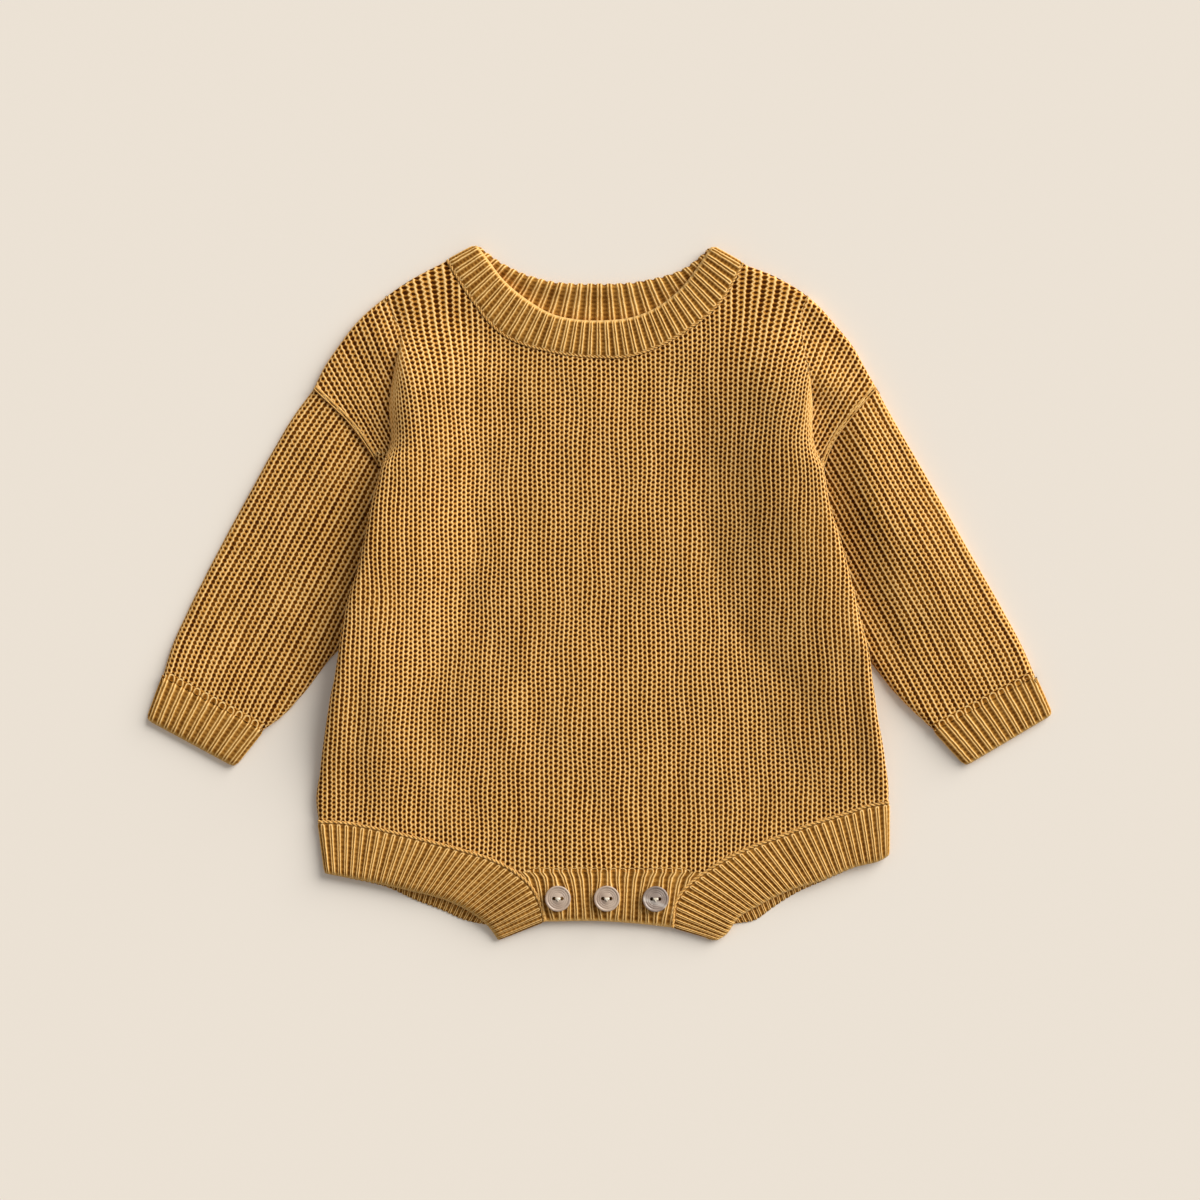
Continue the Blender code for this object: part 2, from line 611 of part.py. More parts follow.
def placket_front():
    columns = rib_columns(PLACKET_RIBS)
    across = columns / PLACKET_RIBS
    down, share = np.array(PLACKET_ROWS).T
    top_y = PLACKET_TOP_Y - SEAM / 2
    left_y = top_y + (PLACKET_BOTTOM[0][1] - top_y) * down
    right_y = top_y + (PLACKET_BOTTOM[-1][1] - top_y) * down
    left = placket_sides(left_y, "leg_seam")[0]
    right = placket_sides(right_y, "leg_seam")[1]
    top = left[0] + np.outer(across, right[0] - left[0])
    bottom = smooth((left[-1], *PLACKET_BOTTOM[1:-1], right[-1]), across)
    plan = patch(top, bottom, left, right, across, down)
    z = FRONT_Z + (WALL + RELIEF * rib_height(columns)[None]) * share[:, None]
    floor = np.full(plan.shape[:2], FRONT_Z)
    return slab(np.dstack([plan, z]), np.dstack([plan, floor])[:, ::INSIDE_EVERY])


def placket_back():
    across = np.linspace(0, 1, PLACKET_RIBS // 2 + 1)
    corners = np.array([SIDES[side]["back_leg_seam"][-1] for side in SIDES])
    corners += ((SEAM, -SEAM / 2), (-SEAM, -SEAM / 2))
    top = corners[0] + np.outer(across, corners[1] - corners[0])
    bottom = smooth(PLACKET_BOTTOM, across) + (0, PLACKET_BACK_SHORTER)
    rows = np.array([top, (top + bottom) / 2, bottom])
    return slab(np.dstack([rows, np.full(rows.shape[:2], WALL)]),
                np.dstack([rows, np.zeros(rows.shape[:2])]))


def cylinder(name, radius, depth, place, collection):
    mesh = bpy.data.meshes.new(name)
    work = bmesh.new()
    bmesh.ops.create_cone(work, cap_ends=True, segments=12, radius1=radius / 1000,
                          radius2=radius / 1000, depth=depth / 1000)
    work.to_mesh(mesh)
    work.free()
    made = bpy.data.objects.new(name, mesh)
    made.location = [value / 1000 for value in place]
    made.hide_render = True
    made.display_type = "WIRE"
    collection.objects.link(made)
    return made


def button(name, finish, parts, cutters):
    """A turned disc with a rounded rim round a shallow dish, and two holes for its thread."""
    radius, dish = BUTTON_DIAMETER / 2, BUTTON_DIAMETER / 2 - BUTTON_RIM
    high, low = BUTTON_THICKNESS, BUTTON_THICKNESS - BUTTON_RIM_HEIGHT
    slope, foot = BUTTON_RIM_SLOPE, BUTTON_EDGE_BOTTOM
    profile = ((0, low), (dish, low), (dish + slope, high), (radius - slope, high),
               (radius, high - BUTTON_EDGE_TOP), (radius, foot), (radius - foot, 0), (0, 0))
    mesh = bpy.data.meshes.new(name)
    mesh.from_pydata([(x / 1000, 0, z / 1000) for x, z in profile],
                     [(i, i + 1) for i in range(len(profile) - 1)], [])
    made = bpy.data.objects.new(name, mesh)
    parts.objects.link(made)
    x, y = BUTTONS[name]
    made.location = (x / 1000, y / 1000, BUTTON_Z / 1000)
    turn = made.modifiers.new("turn", "SCREW")
    turn.steps = turn.render_steps = BUTTON_STEPS
    turn.use_merge_vertices = True
    turn.merge_threshold = 0.00001
    mesh.materials.append(finish)
    for number, sign in enumerate((-1, 1), 1):
        place = (x + sign * BUTTON_HOLES_APART / 2, y, BUTTON_Z + BUTTON_THICKNESS / 2)
        cutter = cylinder(f"{name}_hole_{number}", BUTTON_HOLE / 2, 3 * BUTTON_THICKNESS, place,
                          cutters)
        cut = made.modifiers.new(f"hole_{number}", "BOOLEAN")
        cut.object = cutter
        cut.operation = "DIFFERENCE"
    return made


# ---------------------------------------------------------------- the romper

def main():
    for old in list(bpy.data.objects):
        bpy.data.objects.remove(old)
    parts = bpy.data.collections.new("baby_romper")
    cutters = bpy.data.collections.new("cutters")
    for collection in (parts, cutters):
        bpy.context.scene.collection.children.link(collection)
    cutters.hide_render = True

    cloth = {
        "front_panel": (front_panel(), KNIT), "back_panel": (back_panel(), KNIT),
        "sleeve_l": (sleeve("l"), KNIT), "sleeve_r": (sleeve("r"), KNIT),
        "cuff_l": (cuff("l"), RIB_KNIT), "cuff_r": (cuff("r"), RIB_KNIT),
        "neckband": (neckband(), RIB_KNIT),
        "leg_band_l": (leg_band("l"), RIB_KNIT), "leg_band_r": (leg_band("r"), RIB_KNIT),
        "placket_front": (placket_front(), RIB_KNIT), "placket_back": (placket_back(), RIB_KNIT),
    }
    for name, (shell, colour) in cloth.items():
        mesh_object(name, shell, material(name, colour, 0.9), parts)
    for name in BUTTONS:
        button(name, material(name, BUTTON_COLOURS[name], 0.35), parts, cutters)


main()
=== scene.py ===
"""Looks of a baby romper in a chunky ribbed knit, laid flat on its back with its front up.

Sizes are in millimetres on the cloth, in the frame of the solids, and build() turns them into metres.
Each piece of cloth is a thin shell: a fine outer face that follows the wales and courses of its knit,
a plain inside, and edges that roll over folds or tuck into seams. "Left" is the side at -X.
"""

from math import pi, radians

import bpy
import numpy as np
from mathutils import Matrix


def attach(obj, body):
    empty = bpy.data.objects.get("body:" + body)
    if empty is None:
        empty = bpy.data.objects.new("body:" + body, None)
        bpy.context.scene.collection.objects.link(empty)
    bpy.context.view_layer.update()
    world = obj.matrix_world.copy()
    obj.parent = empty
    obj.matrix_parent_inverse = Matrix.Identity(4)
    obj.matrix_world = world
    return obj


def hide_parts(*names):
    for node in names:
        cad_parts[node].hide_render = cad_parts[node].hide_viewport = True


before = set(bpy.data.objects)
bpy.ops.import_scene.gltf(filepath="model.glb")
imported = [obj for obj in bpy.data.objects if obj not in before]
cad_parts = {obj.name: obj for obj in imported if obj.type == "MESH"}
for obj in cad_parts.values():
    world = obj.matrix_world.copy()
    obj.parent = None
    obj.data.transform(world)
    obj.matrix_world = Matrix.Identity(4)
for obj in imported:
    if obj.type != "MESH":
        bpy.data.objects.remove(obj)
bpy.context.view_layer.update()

# -------- sizes, as in the solids

WALL = 2.4  # thickness of the cloth
FRONT_Z = WALL + 0.3  # inside of the front, which lies on the back
TOP_Z = FRONT_Z + WALL  # its top
LIFT = 4.8  # rise of the body over a sleeve
LIFT_CLEAR = 0.4  # more room between its two layers there
LIFT_FLAT, LIFT_END = 8.0, 50.0  # distances in from the side where the rise starts to fade, and ends
LIFT_LOW, LIFT_HIGH = (-68.0, -36.0), (61.0, 85.0)  # heights over which it begins, and ends
RIDGE = 4.4  # height of the fold that runs on from each underarm to the shoulder
ARMPIT = 61.0  # height where the armhole seam runs in under the body

NECK_SEAM = ((-76.5, 166), (-65, 148), (-48.5, 129), (-23, 120), (-2.5, 117.5), (15.5, 118),
             (28, 122), (41, 129), (60, 144), (72.5, 164.5))
NECK_EDGE = ((-61.5, 174), (-56, 167), (-48.5, 157), (-35.5, 146), (-23, 139), (-10, 136.3),
             (2.5, 136), (15.5, 137.3), (28, 142), (41, 152), (49.5, 163), (56.5, 173.5))
BACK_NECK_SEAM = ((-76.5, 166), (-64.5, 154), (-48.5, 143), (-23, 137), (-2.5, 135), (15.5, 136),
    (28, 139), (45.5, 147), (61.5, 156), (72.5, 164.5))
BACK_NECK_EDGE = ((-61.5, 174), (-52.5, 167), (-39.5, 160), (-23, 155.3), (-2.5, 154.3),
    (15.5, 154.8), (28, 157), (41, 161), (51, 168), (56.5, 173.5))
PLACKET_TOP_Y = -140.0
PLACKET_BOTTOM = ((-27, -164.5), (0.5, -164.3), (20.5, -165.7), (36.8, -167.6))
PLACKET_BACK_TOP_Y = -144.0

SIDES = {
    "l": {
        "toward": -1.0,
        "shoulder": ((-143, 102), (-137, 114), (-131.5, 122), (-122.5, 134), (-109.5, 146),
            (-92, 158), (-76.5, 166)),
        "armhole": ((-143, 102), (-124.5, 84), (-108.5, 61)),
        "side": ((-108.5, 61), (-113, 44), (-116.5, 27), (-120, 11), (-124.5, -3), (-128, -20),
            (-131, -40), (-134, -54), (-136.5, -69), (-139.5, -89), (-141.5, -104), (-140.5, -114.5)),
        "crease": ((-108.5, 61), (-104, 76), (-105, 93), (-102.5, 111), (-99.5, 131)),
        "fan": (-22.0, -85.75),
        "leg_seam": ((-140.5, -114.5), (-129, -115), (-114, -117.5), (-98.5, -121), (-83, -125),
            (-68, -129), (-52.5, -134), (-42.5, -139.5), (-34, -147), (-29, -157), (-27, -164.5)),
        "leg_edge": ((-137, -140.5), (-124, -143), (-108.5, -146), (-93.5, -149.5), (-78, -153.5),
            (-65, -159.5), (-55.5, -167), (-50.5, -174)),
        "back_leg_seam": ((-140.5, -114.5), (-127, -116), (-99.5, -124), (-74.5, -133), (-49.5, -140),
            (-29, PLACKET_BACK_TOP_Y)),
        "back_leg_edge": ((-137, -140.5), (-124, -143.5), (-105.5, -148), (-92.5, -154),
            (-78, -159.5), (-68, -164), (-59.5, -166), (-47, -167)),
        "sleeve_outer": ((-143, 102), (-152, 90), (-163.5, 71), (-174.5, 51), (-185.5, 31),
            (-196, 11), (-206, -9), (-214, -27), (-218.5, -42)),
        "sleeve_inner": ((-100.5, 50), (-101.5, 31), (-106.5, 6), (-115.5, -15), (-128, -26),
            (-136.5, -35), (-143.5, -44.5), (-150, -52.5), (-159.5, -62.5), (-168.5, -69)),
        "cuff_edge": ((-226.5, -63.5), (-183, -87)),
    },
    "r": {
        "toward": 1.0,
        "shoulder": ((139, 102), (132.5, 114), (128, 122), (118.5, 134), (107.5, 146), (89, 158),
            (72.5, 164.5)),
        "armhole": ((139, 102), (130, 92), (116.5, 73), (112, 61)),
        "side": ((112, 61), (115, 44), (120.5, 26), (126.5, 3), (131, -16), (135, -32), (136.5, -44),
            (139, -61), (141.5, -74), (143.5, -86), (145, -99), (145, -105)),
        "crease": ((112, 61), (107, 76), (106.5, 94), (104.5, 111), (101, 131)),
        "fan": (19.0, -85.75),
        "leg_seam": ((145, -105), (135.5, -106.5), (122, -111), (106, -116), (90.5, -122),
            (74.5, -128), (64, -133), (53.5, -139.5), (45, -146), (39, -153.5), (36.8, -167.6)),
        "leg_edge": ((145, -131.5), (142, -133.5), (127.5, -137.5), (111.5, -144), (95.5, -149),
            (80, -156.5), (69.5, -163), (63, -172), (59, -174.2)),
        "back_leg_seam": ((145, -105), (120.5, -113), (95.5, -123), (70.5, -134), (50.5, -141),
            (39, PLACKET_BACK_TOP_Y)),
        "back_leg_edge": ((145, -131.5), (127.5, -138), (111.5, -145), (101, -149.5), (85, -159.5),
            (79, -164), (68, -166), (54.5, -168)),
        "sleeve_outer": ((139, 102), (145.5, 90), (156.5, 71), (168, 51), (179.5, 31), (191, 11),
            (202.5, -9), (213, -29), (218.5, -42)),
        "sleeve_inner": ((105, 52), (106, 31), (111.5, 6), (121.5, -16), (131, -27), (137, -35.5),
            (146.5, -48), (156.5, -58.5), (168, -69)),
        "cuff_edge": ((227, -61), (184, -86.5)),
    },
}
for table in SIDES.values():
    table["sleeve_top"] = (*table["armhole"], table["sleeve_inner"][0])
    table["cuff_seam"] = (table["sleeve_outer"][-1], table["sleeve_inner"][-1])

BUTTONS = {"button_1": (-20.5, -152.8), "button_2": (3.9, -152.8), "button_3": (28.3, -153.0)}
BUTTON_DIAMETER, BUTTON_THICKNESS = 12.9, 2.8
BUTTON_RIM, BUTTON_RIM_HEIGHT = 1.1, 0.4
BUTTON_HOLE, BUTTON_HOLES_APART = 1.9, 3.9
BUTTON_Z = TOP_Z + 0.8 + 0.3  # underside of the buttons, just over the placket's ribs
BUTTON_RINGS = (3.1, 4.0)  # radii of the grooves turned in their dish
BEND, BEND_WIDTH, BEND_HEIGHT = 2.2, 6.0, 7.0  # how far, and how near, ribs bend round a button

# -------- the knit

WALE, WALE_AT_SIDES = 4.56, 4.3  # width of a wale in the middle of the body, and towards its sides
WALE_SHIFT = 2.0  # place of a valley between two wales nearest to the middle
MIDDLE_WALES = 11  # wales of the wider kind, each way from the middle
COURSE = 2.425  # height of a course
WIDEN, WIDEN_DOWN = 0.04, (0.0, 115.0)  # share by which the body spreads, over these depths
LEAN = 0.36  # slope of the wales that run up to the shoulders
LEAN_OFF = (55.0, 98.0)  # distances from the middle where the lean starts, and is full
LEAN_START, LEAN_BEND = 66.0, 55.0  # height where it starts, and over which the wales bend
FAN_FIRST, FAN_STEP = radians(70), radians(1.24)  # direction of a yoke's first wale, and step
SLEEVE_WALE = 4.75  # width of a sleeve's wales
FOLD_RADIUS = 2.75  # of the body's side and shoulder folds
SLEEVE_RADIUS = 3.0  # and of the sleeves' folds
SEAM_RADIUS = 0.8  # roll of an edge that is sewn
JOINT_RADIUS = 0.02  # of an edge that goes on flat as another piece
STITCH_DEPTH, RIB_DEPTH = 1.1, 0.8  # depth of the relief, open and in the bands
SMALL_DROP = 0.3  # how far below a hole in the valley the small hole beside it lies, in courses
SWELL_LOW = (-116.0, -30.0)  # heights over which the rise of the sides starts
FULLER = {"l": 2.8, "r": 1.75}  # times the solid's height that the body's sides rise over the sleeves
RIDGE_FADE = (98.0, 140.0)  # heights over which the folds to the shoulders fade
SWELL_REACH = {"l": 60.0, "r": 66.0}  # distance in from the sides over which their rise fades
MEETING = {"l": (110.0, 135.0), "r": (91.0, 112.0)}  # heights over which the yokes come up to them
YOKE_RISE = {"l": 0.8, "r": 0.0}  # rise of the yokes close to the folds, below there
YOKE_OUTER = {"l": 0.0, "r": 3.5}  # and of their outer parts, as the sleeves push them up
LUMP, LUMP_SIZE = 0.35, 17.0  # of the front's slight unevenness
SIDE_ROUND = 0.11  # how much rounder the sides' folds are, for each millimetre that they rise
SLEEVE_PUFF = {"l": 0.0, "r": 1.8}  # how much fuller the sleeves are outside the body
SLEEVE_CROWN = {"l": 2.2, "r": 6.6}  # and how much more, towards the armholes
SLEEVE_RISE = {"l": (8.0, 30.0), "r": (-1.0, 26.0)}  # distances from the body over which they rise
SLEEVE_FALL = {"l": 56.0, "r": 32.0}  # distances from their outer folds over which they fall
SLEEVE_LOW = {"l": 3.0, "r": 3.3}  # top of the sleeves where they come out from under the body
CUFF_TOP = 4.9  # top of the cuffs, beside the sleeves
SLEEVE_WALL, HIDDEN_WALL = 1.5, 1.4  # of the shells of sleeves, cuffs and placket, and of hidden bands
RIB_SINK = 0.45  # how far the ribs' valleys lie below the mean of the open knit
BAND_RISE = 0.8  # of the neckband over the body
CROWD_IN, CROWD_OUT = 14.0, 4.5  # wales up to CROWD_OUT past a crease crowd into CROWD_IN before it
STEPS = (0.25, 1 / 3)  # cells of the body's fine lattice, in wales and courses
RIB_STEPS = (0.125, 1.0)  # and of a band's
SNAP = 0.35  # share of a step within which a point moves on to the edge
EDGE_CLOSE = 1.2  # how much less than elsewhere the knit is drawn in right at its folds
HALF_DRAWN, FULLY_DRAWN = (122.0, 136.0), (136.8, 139.4)  # depths over which wales turn into ribs
SIDES_DRAWN, HEM_DRAWN = 0.38, 0.25  # shares by which wales are drawn in along the sides and hem
SIDES_FADE, HEM_FADE = (12.0, 50.0), (80.0, 112.0)  # over these distances in, and these depths
SHOULDER_DRAWN, SHOULDER_FADE = 0.35, (120.0, 146.0)  # and at the shoulders, over these heights
PLACKET_FADE = (36.0, 49.0)  # distances from the placket's middle over which its drawing in ends
EDGE_RADIUS = 1.1  # of a band's free edge
CUFF_RADIUS = 2.3  # of a cuff's folds
RIM = 0.4  # how far past its last course a band's plain rim starts
PLACKET_RIBS = 16  # of the hidden placket
PLACKET_PITCH, PLACKET_MIDDLE = 3.95, 5.0  # of its ribs at the bottom, and the line that they draw to
BODY_WALES, BACK_WALES, BODY_COURSES = (-33, 33), (-36, 36), (-62, 72)  # reach of the lattices
YOKE_WALES, YOKE_COURSES = (18, 42), (25, 72)
SLEEVE_COURSES = (-3, 80)


def ramp(value, start, end):
    """0 before start, 1 after end, and a smooth rise between them."""
    share = np.clip((value - start) / (end - start), 0, 1)
    return share * share * (3 - 2 * share)


def smooth(points, shares):
    """Points at these shares of the length of a smooth curve, which runs on straight past its ends."""
    knots = np.array(points, float)
    chords = np.linalg.norm(np.diff(knots, axis=0), axis=1)
    at = np.concatenate([[0], np.cumsum(chords)]) / chords.sum()
    slopes = np.gradient(knots, at, axis=0)
    shares = np.asarray(shares, float)
    held = np.clip(shares, 0, 1)
    i = np.clip(np.searchsorted(at, held, side="right") - 1, 0, len(at) - 2)
    step = (at[i + 1] - at[i])[..., None]
    f = (held - at[i])[..., None] / step
    curve = ((2 * f**3 - 3 * f**2 + 1) * knots[i] + (f**3 - 2 * f**2 + f) * step * slopes[i]
             + (3 * f**2 - 2 * f**3) * knots[i + 1] + (f**3 - f**2) * step * slopes[i + 1])
    past = (shares - held)[..., None]
    return curve + past * np.where(past < 0, slopes[0], slopes[-1])


def dense(points, step=2.0):
    """Points along a smooth curve, about a step apart."""
    length = np.linalg.norm(np.diff(np.array(points, float), axis=0), axis=1).sum()
    return smooth(points, np.linspace(0, 1, max(2, round(length / step) + 1)))


def x_at(points, y, axis=1):
    """Place across of a curve that runs down, at each height, or with axis 0 the other way round."""
    line = dense(points, 0.8)
    line = line[np.argsort(line[:, axis])]
    return np.interp(y, line[:, axis], line[:, 1 - axis])


def y_at(points, x):
    """Height of a curve that runs across, at each x."""
    return x_at(points, x, 0)


# -------- how the body lies

def within(side, line, x, y):
    """Distance from a line that runs down on one side, towards the middle."""
    return (x_at(line, y) - x) * SIDES[side]["toward"]


def inward(side, x, y, upper="armhole"):
    """Distance in from one side of the body, and above the armpit from its armhole or its crease."""
    lines = SIDES[side]["side"], SIDES[side][upper]
    low, high = (within(side, line, x, y) for line in lines)
    return np.where(y > ARMPIT, high, low)


def lift(x, y):
    """Height of the lower layer's underside, over the sleeves tucked under the body."""
    along = ramp(y, *LIFT_LOW) * (1 - ramp(y, *LIFT_HIGH))
    across = [1 - ramp(inward(side, x, y), LIFT_FLAT, LIFT_END) for side in SIDES]
    return LIFT * along * np.maximum(*across)


def swell(x, y):
    """How much higher than the rest the front lies, along its sides and its folds to the shoulders."""
    along = ramp(y, *SWELL_LOW) * (1 - ramp(y, *RIDGE_FADE))
    height = LIFT + LIFT_CLEAR + (RIDGE - LIFT - LIFT_CLEAR) * ramp(y, *LIFT_HIGH)
    folds = [FULLER[side] * (1 - ramp(inward(side, x, y, "crease"), LIFT_FLAT, SWELL_REACH[side]))
             for side in SIDES]
    return along * height * np.maximum(*folds)


def closed_up(x, y):
    """How far the front's knit is drawn in on its shoulders, or closes up on its folds and joints."""
    upper = ramp(y, ARMPIT - 30, ARMPIT + 10)
    flanks = []
    for side in SIDES:
        joint = within(side, crease_line(side), x, y)
        short = np.where(y > ARMPIT, joint, inward(side, x, y, "crease"))
        reach = 2.6 + (2.4 + 6 * upper) * (1 - ramp(y, *MEETING[side]))
        flanks.append((0.2 + 0.25 * upper) * (1 - ramp(short, 0.2 * reach, reach)))
    return SHOULDER_DRAWN * ramp(y, *SHOULDER_FADE) - np.maximum(*flanks)


def ribbed(x, y):
    """How far the front is drawn in above the placket: by half over some courses, then to its ribs."""
    y = y + 0.5 * uneven(x, x, 3.0)
    share = 0.4 * ramp(-y, *HALF_DRAWN) + 0.6 * ramp(-y, *FULLY_DRAWN)
    return share * (1 - ramp(np.abs(x - PLACKET_MIDDLE), *PLACKET_FADE))


def half_drawn(x, y):
    """How far the front's wales are drawn in along its sides and towards its hem."""
    sides = [1 - ramp(inward(side, x, y, "crease"), *SIDES_FADE) for side in SIDES]
    return np.maximum(SIDES_DRAWN * np.maximum(*sides) * (1 - ramp(y, 60, 95)),
                      HEM_DRAWN * ramp(-y, *HEM_FADE))


# Soft creases of the front: where they run, from top to bottom, and their height and half width.
CREASES = (
    (((50, 110), (50, 84), (50, 56), (53, 20), (62, -8), (92, -44), (126, -84)), -0.8, 9.0),
    (((76, 96), (80, 56), (86, 10), (96, -24)), 0.5, 6.0),
    (((-63, 120), (-62, 70), (-66, 10), (-78, -40)), -0.8, 8.0),
    (((-84, 60), (-86, 20), (-92, -30)), 0.5, 7.0),
    (((-117, -20), (-120, -60), (-121, -106)), -1.2, 6.0),
    (((-99, -40), (-104, -75), (-106, -108)), 0.6, 6.0),
    (((123, -20), (127, -60), (130, -98)), -1.2, 6.5),
    (((84, 158), (88, 130), (92, 92), (97, 10)), 2.4, 17.0),
    (((-90, 156), (-72, 136), (-40, 112)), -0.4, 8.0),
    (((-107, 154), (-101, 131), (-104, 92)), -1.0, 5.0),
    (((107, 152), (103, 131), (106, 92)), -0.8, 4.5),
    (((-30, 90), (-24, 30), (-20, -30)), 0.5, 9.0),
    (((22, 60), (26, 0), (18, -70)), 0.5, 10.0),
    (((-46, -40), (-40, -90), (-34, -126)), 0.6, 9.0),
    (((52, -60), (50, -95), (44, -128)), 0.5, 8.0),
    (((-8, -60), (-4, -95), (-2, -132)), -0.5, 8.0),
)


def creases(x, y):
    """Soft troughs and ridges, each fading out at both ends."""
    total = np.zeros(np.shape(x))
    for points, height, width in CREASES:
        top, bottom = points[0][1], points[-1][1]
        fade = (top - bottom) / 4
        along = ramp(y, bottom, bottom + fade) * (1 - ramp(y, top - fade, top))
        total = total + height * along * np.exp(-((x - x_at(points, y)) / width) ** 2)
    return total


def uneven(u, v, size):
    """Smooth unevenness of hand-laid cloth, within 1 each way, in lumps of about this size."""
    a, b = u / size, v / size
    return (np.sin(a * 2.1 + 1.3 * np.sin(b * 0.9)) * np.cos(b * 1.3 + 0.7)
            + np.sin(a * 0.83 - b * 1.71 + 2.1) + 0.6 * np.cos(a * 3.7 + b * 2.3)) / 2.6


def front_height(x, y):
    """Top of the front between its stitches."""
    return TOP_Z + swell(x, y) + creases(x, y) + LUMP * uneven(x, y, LUMP_SIZE)


# -------- outlines

class Outline:
    """Closed outline of a panel, as stretches of (points, radius, turn).

    Towards a stretch the cloth rolls down over that radius, through an angle of that turn. With no
    turn it lies flat, keeps its relief, and ends the radius in from the outline."""

    def __init__(self, *stretches, rounds=0):
        """Each round takes a little more off the corners."""
        self.points = np.concatenate([points for points, _, _ in stretches])
        for _ in range(rounds):
            beside = np.roll(self.points, 1, axis=0) + np.roll(self.points, -1, axis=0)
            self.points = self.points / 2 + beside / 4
        self.radius, self.turn = (
            np.concatenate([np.full(len(stretch[0]), stretch[k], float) for stretch in stretches])
            for k in (1, 2))

    def locate(self, places):
        """For each place its distance in, foot on the outline, way out, radius, turn and run along."""
        start = self.points
        along = np.roll(start, -1, axis=0) - start
        squared = np.maximum((along**2).sum(axis=1), 1e-9)
        run = np.concatenate([[0], np.cumsum(np.sqrt(squared))])
        self.length = run[-1]
        rows = []
        for chunk in np.array_split(places, len(places) // 3000 + 1):
            away = chunk[:, None] - start
            share = np.clip((away * along).sum(axis=2) / squared, 0, 1)
            gap = np.linalg.norm(away - share[..., None] * along, axis=2)
            k = gap.argmin(axis=1)
            at = np.arange(len(chunk))
            foot = start[k] + share[at, k][:, None] * along[k]
            y = chunk[:, 1:]
            crossed = (start[:, 1] > y) != (start[:, 1] + along[:, 1] > y)
            slope = along[:, 0] / np.where(along[:, 1] == 0, 1e-9, along[:, 1])
            crossed &= chunk[:, :1] < start[:, 0] + (y - start[:, 1]) * slope
            sign = np.where(crossed.sum(axis=1) % 2, 1.0, -1.0)
            distance = gap[at, k]
            out = (foot - chunk) * (sign / np.maximum(distance, 1e-6))[:, None]
            rows.append(np.column_stack([sign * distance, foot, out, self.radius[k], self.turn[k],
                                         run[k] + share[at, k] * (run[k + 1] - run[k])]))
        table = np.concatenate(rows)
        return table[:, 0], table[:, 1:3], table[:, 3:5], table[:, 5], table[:, 6], table[:, 7]


def flattened(stretches):
    """The same stretches for a layer that lies flat to its outline."""
    return [(line, radius, 0.0) for line, radius, _ in stretches]


def backwards(stretches):
    """The same stretches the other way round."""
    return [(line[::-1], *(np.full(len(line), shape, float)[::-1] for shape in shapes))
            for line, *shapes in stretches[::-1]]


def boundary_loops(faces):
    """The open edges of a mesh, as loops of point numbers."""
    edges = {(a, b) for face in faces for a, b in zip(face, (*face[1:], face[0]))}
    after = {}
    for a, b in edges:
        if (b, a) not in edges:
            after.setdefault(a, []).append(b)
    loops = []
    while after:
        first = at = next(iter(after))
        loop = []
        while at in after:
            loop.append(at)
            onward = after[at]
            step = onward.pop()
            if not onward:
                del after[at]
            at = step
        if at == first and len(loop) > 2:
            loops.append(loop)
    return loops


def ahead(run, loop, length):
    """How far along an outline each point of a loop is from its first one, and the way it runs."""
    steps = np.diff(run[loop + loop[:1]])
    steps = (steps + length / 2) % length - length / 2
    way = np.sign(steps.sum())
    return np.maximum.accumulate(np.concatenate([[0], np.cumsum(steps * way)])), way


def lace(outer, inner, run, length):
    """Triangles between two loops of point numbers that follow one outline, the inner one reversed."""
    inner = inner[::-1]
    gaps = (run[inner] - run[outer[0]] + length / 2) % length - length / 2
    start = int(np.abs(gaps).argmin())
    inner = inner[start:] + inner[:start]
    outer_at, way = ahead(run, outer, length)
    inner_at = ahead(run, inner, length)[0] + gaps[start] * way
    outer, inner = outer + outer[:1], inner + inner[:1]
    faces = []
    i = j = 0
    for _, within in sorted([(at, False) for at in outer_at[1:]] + [(at, True) for at in inner_at[1:]]):
        if within:
            faces.append((outer[i], inner[j], inner[j + 1]))
            j += 1
        else:
            faces.append((outer[i + 1], outer[i], inner[j]))
            i += 1
    return faces


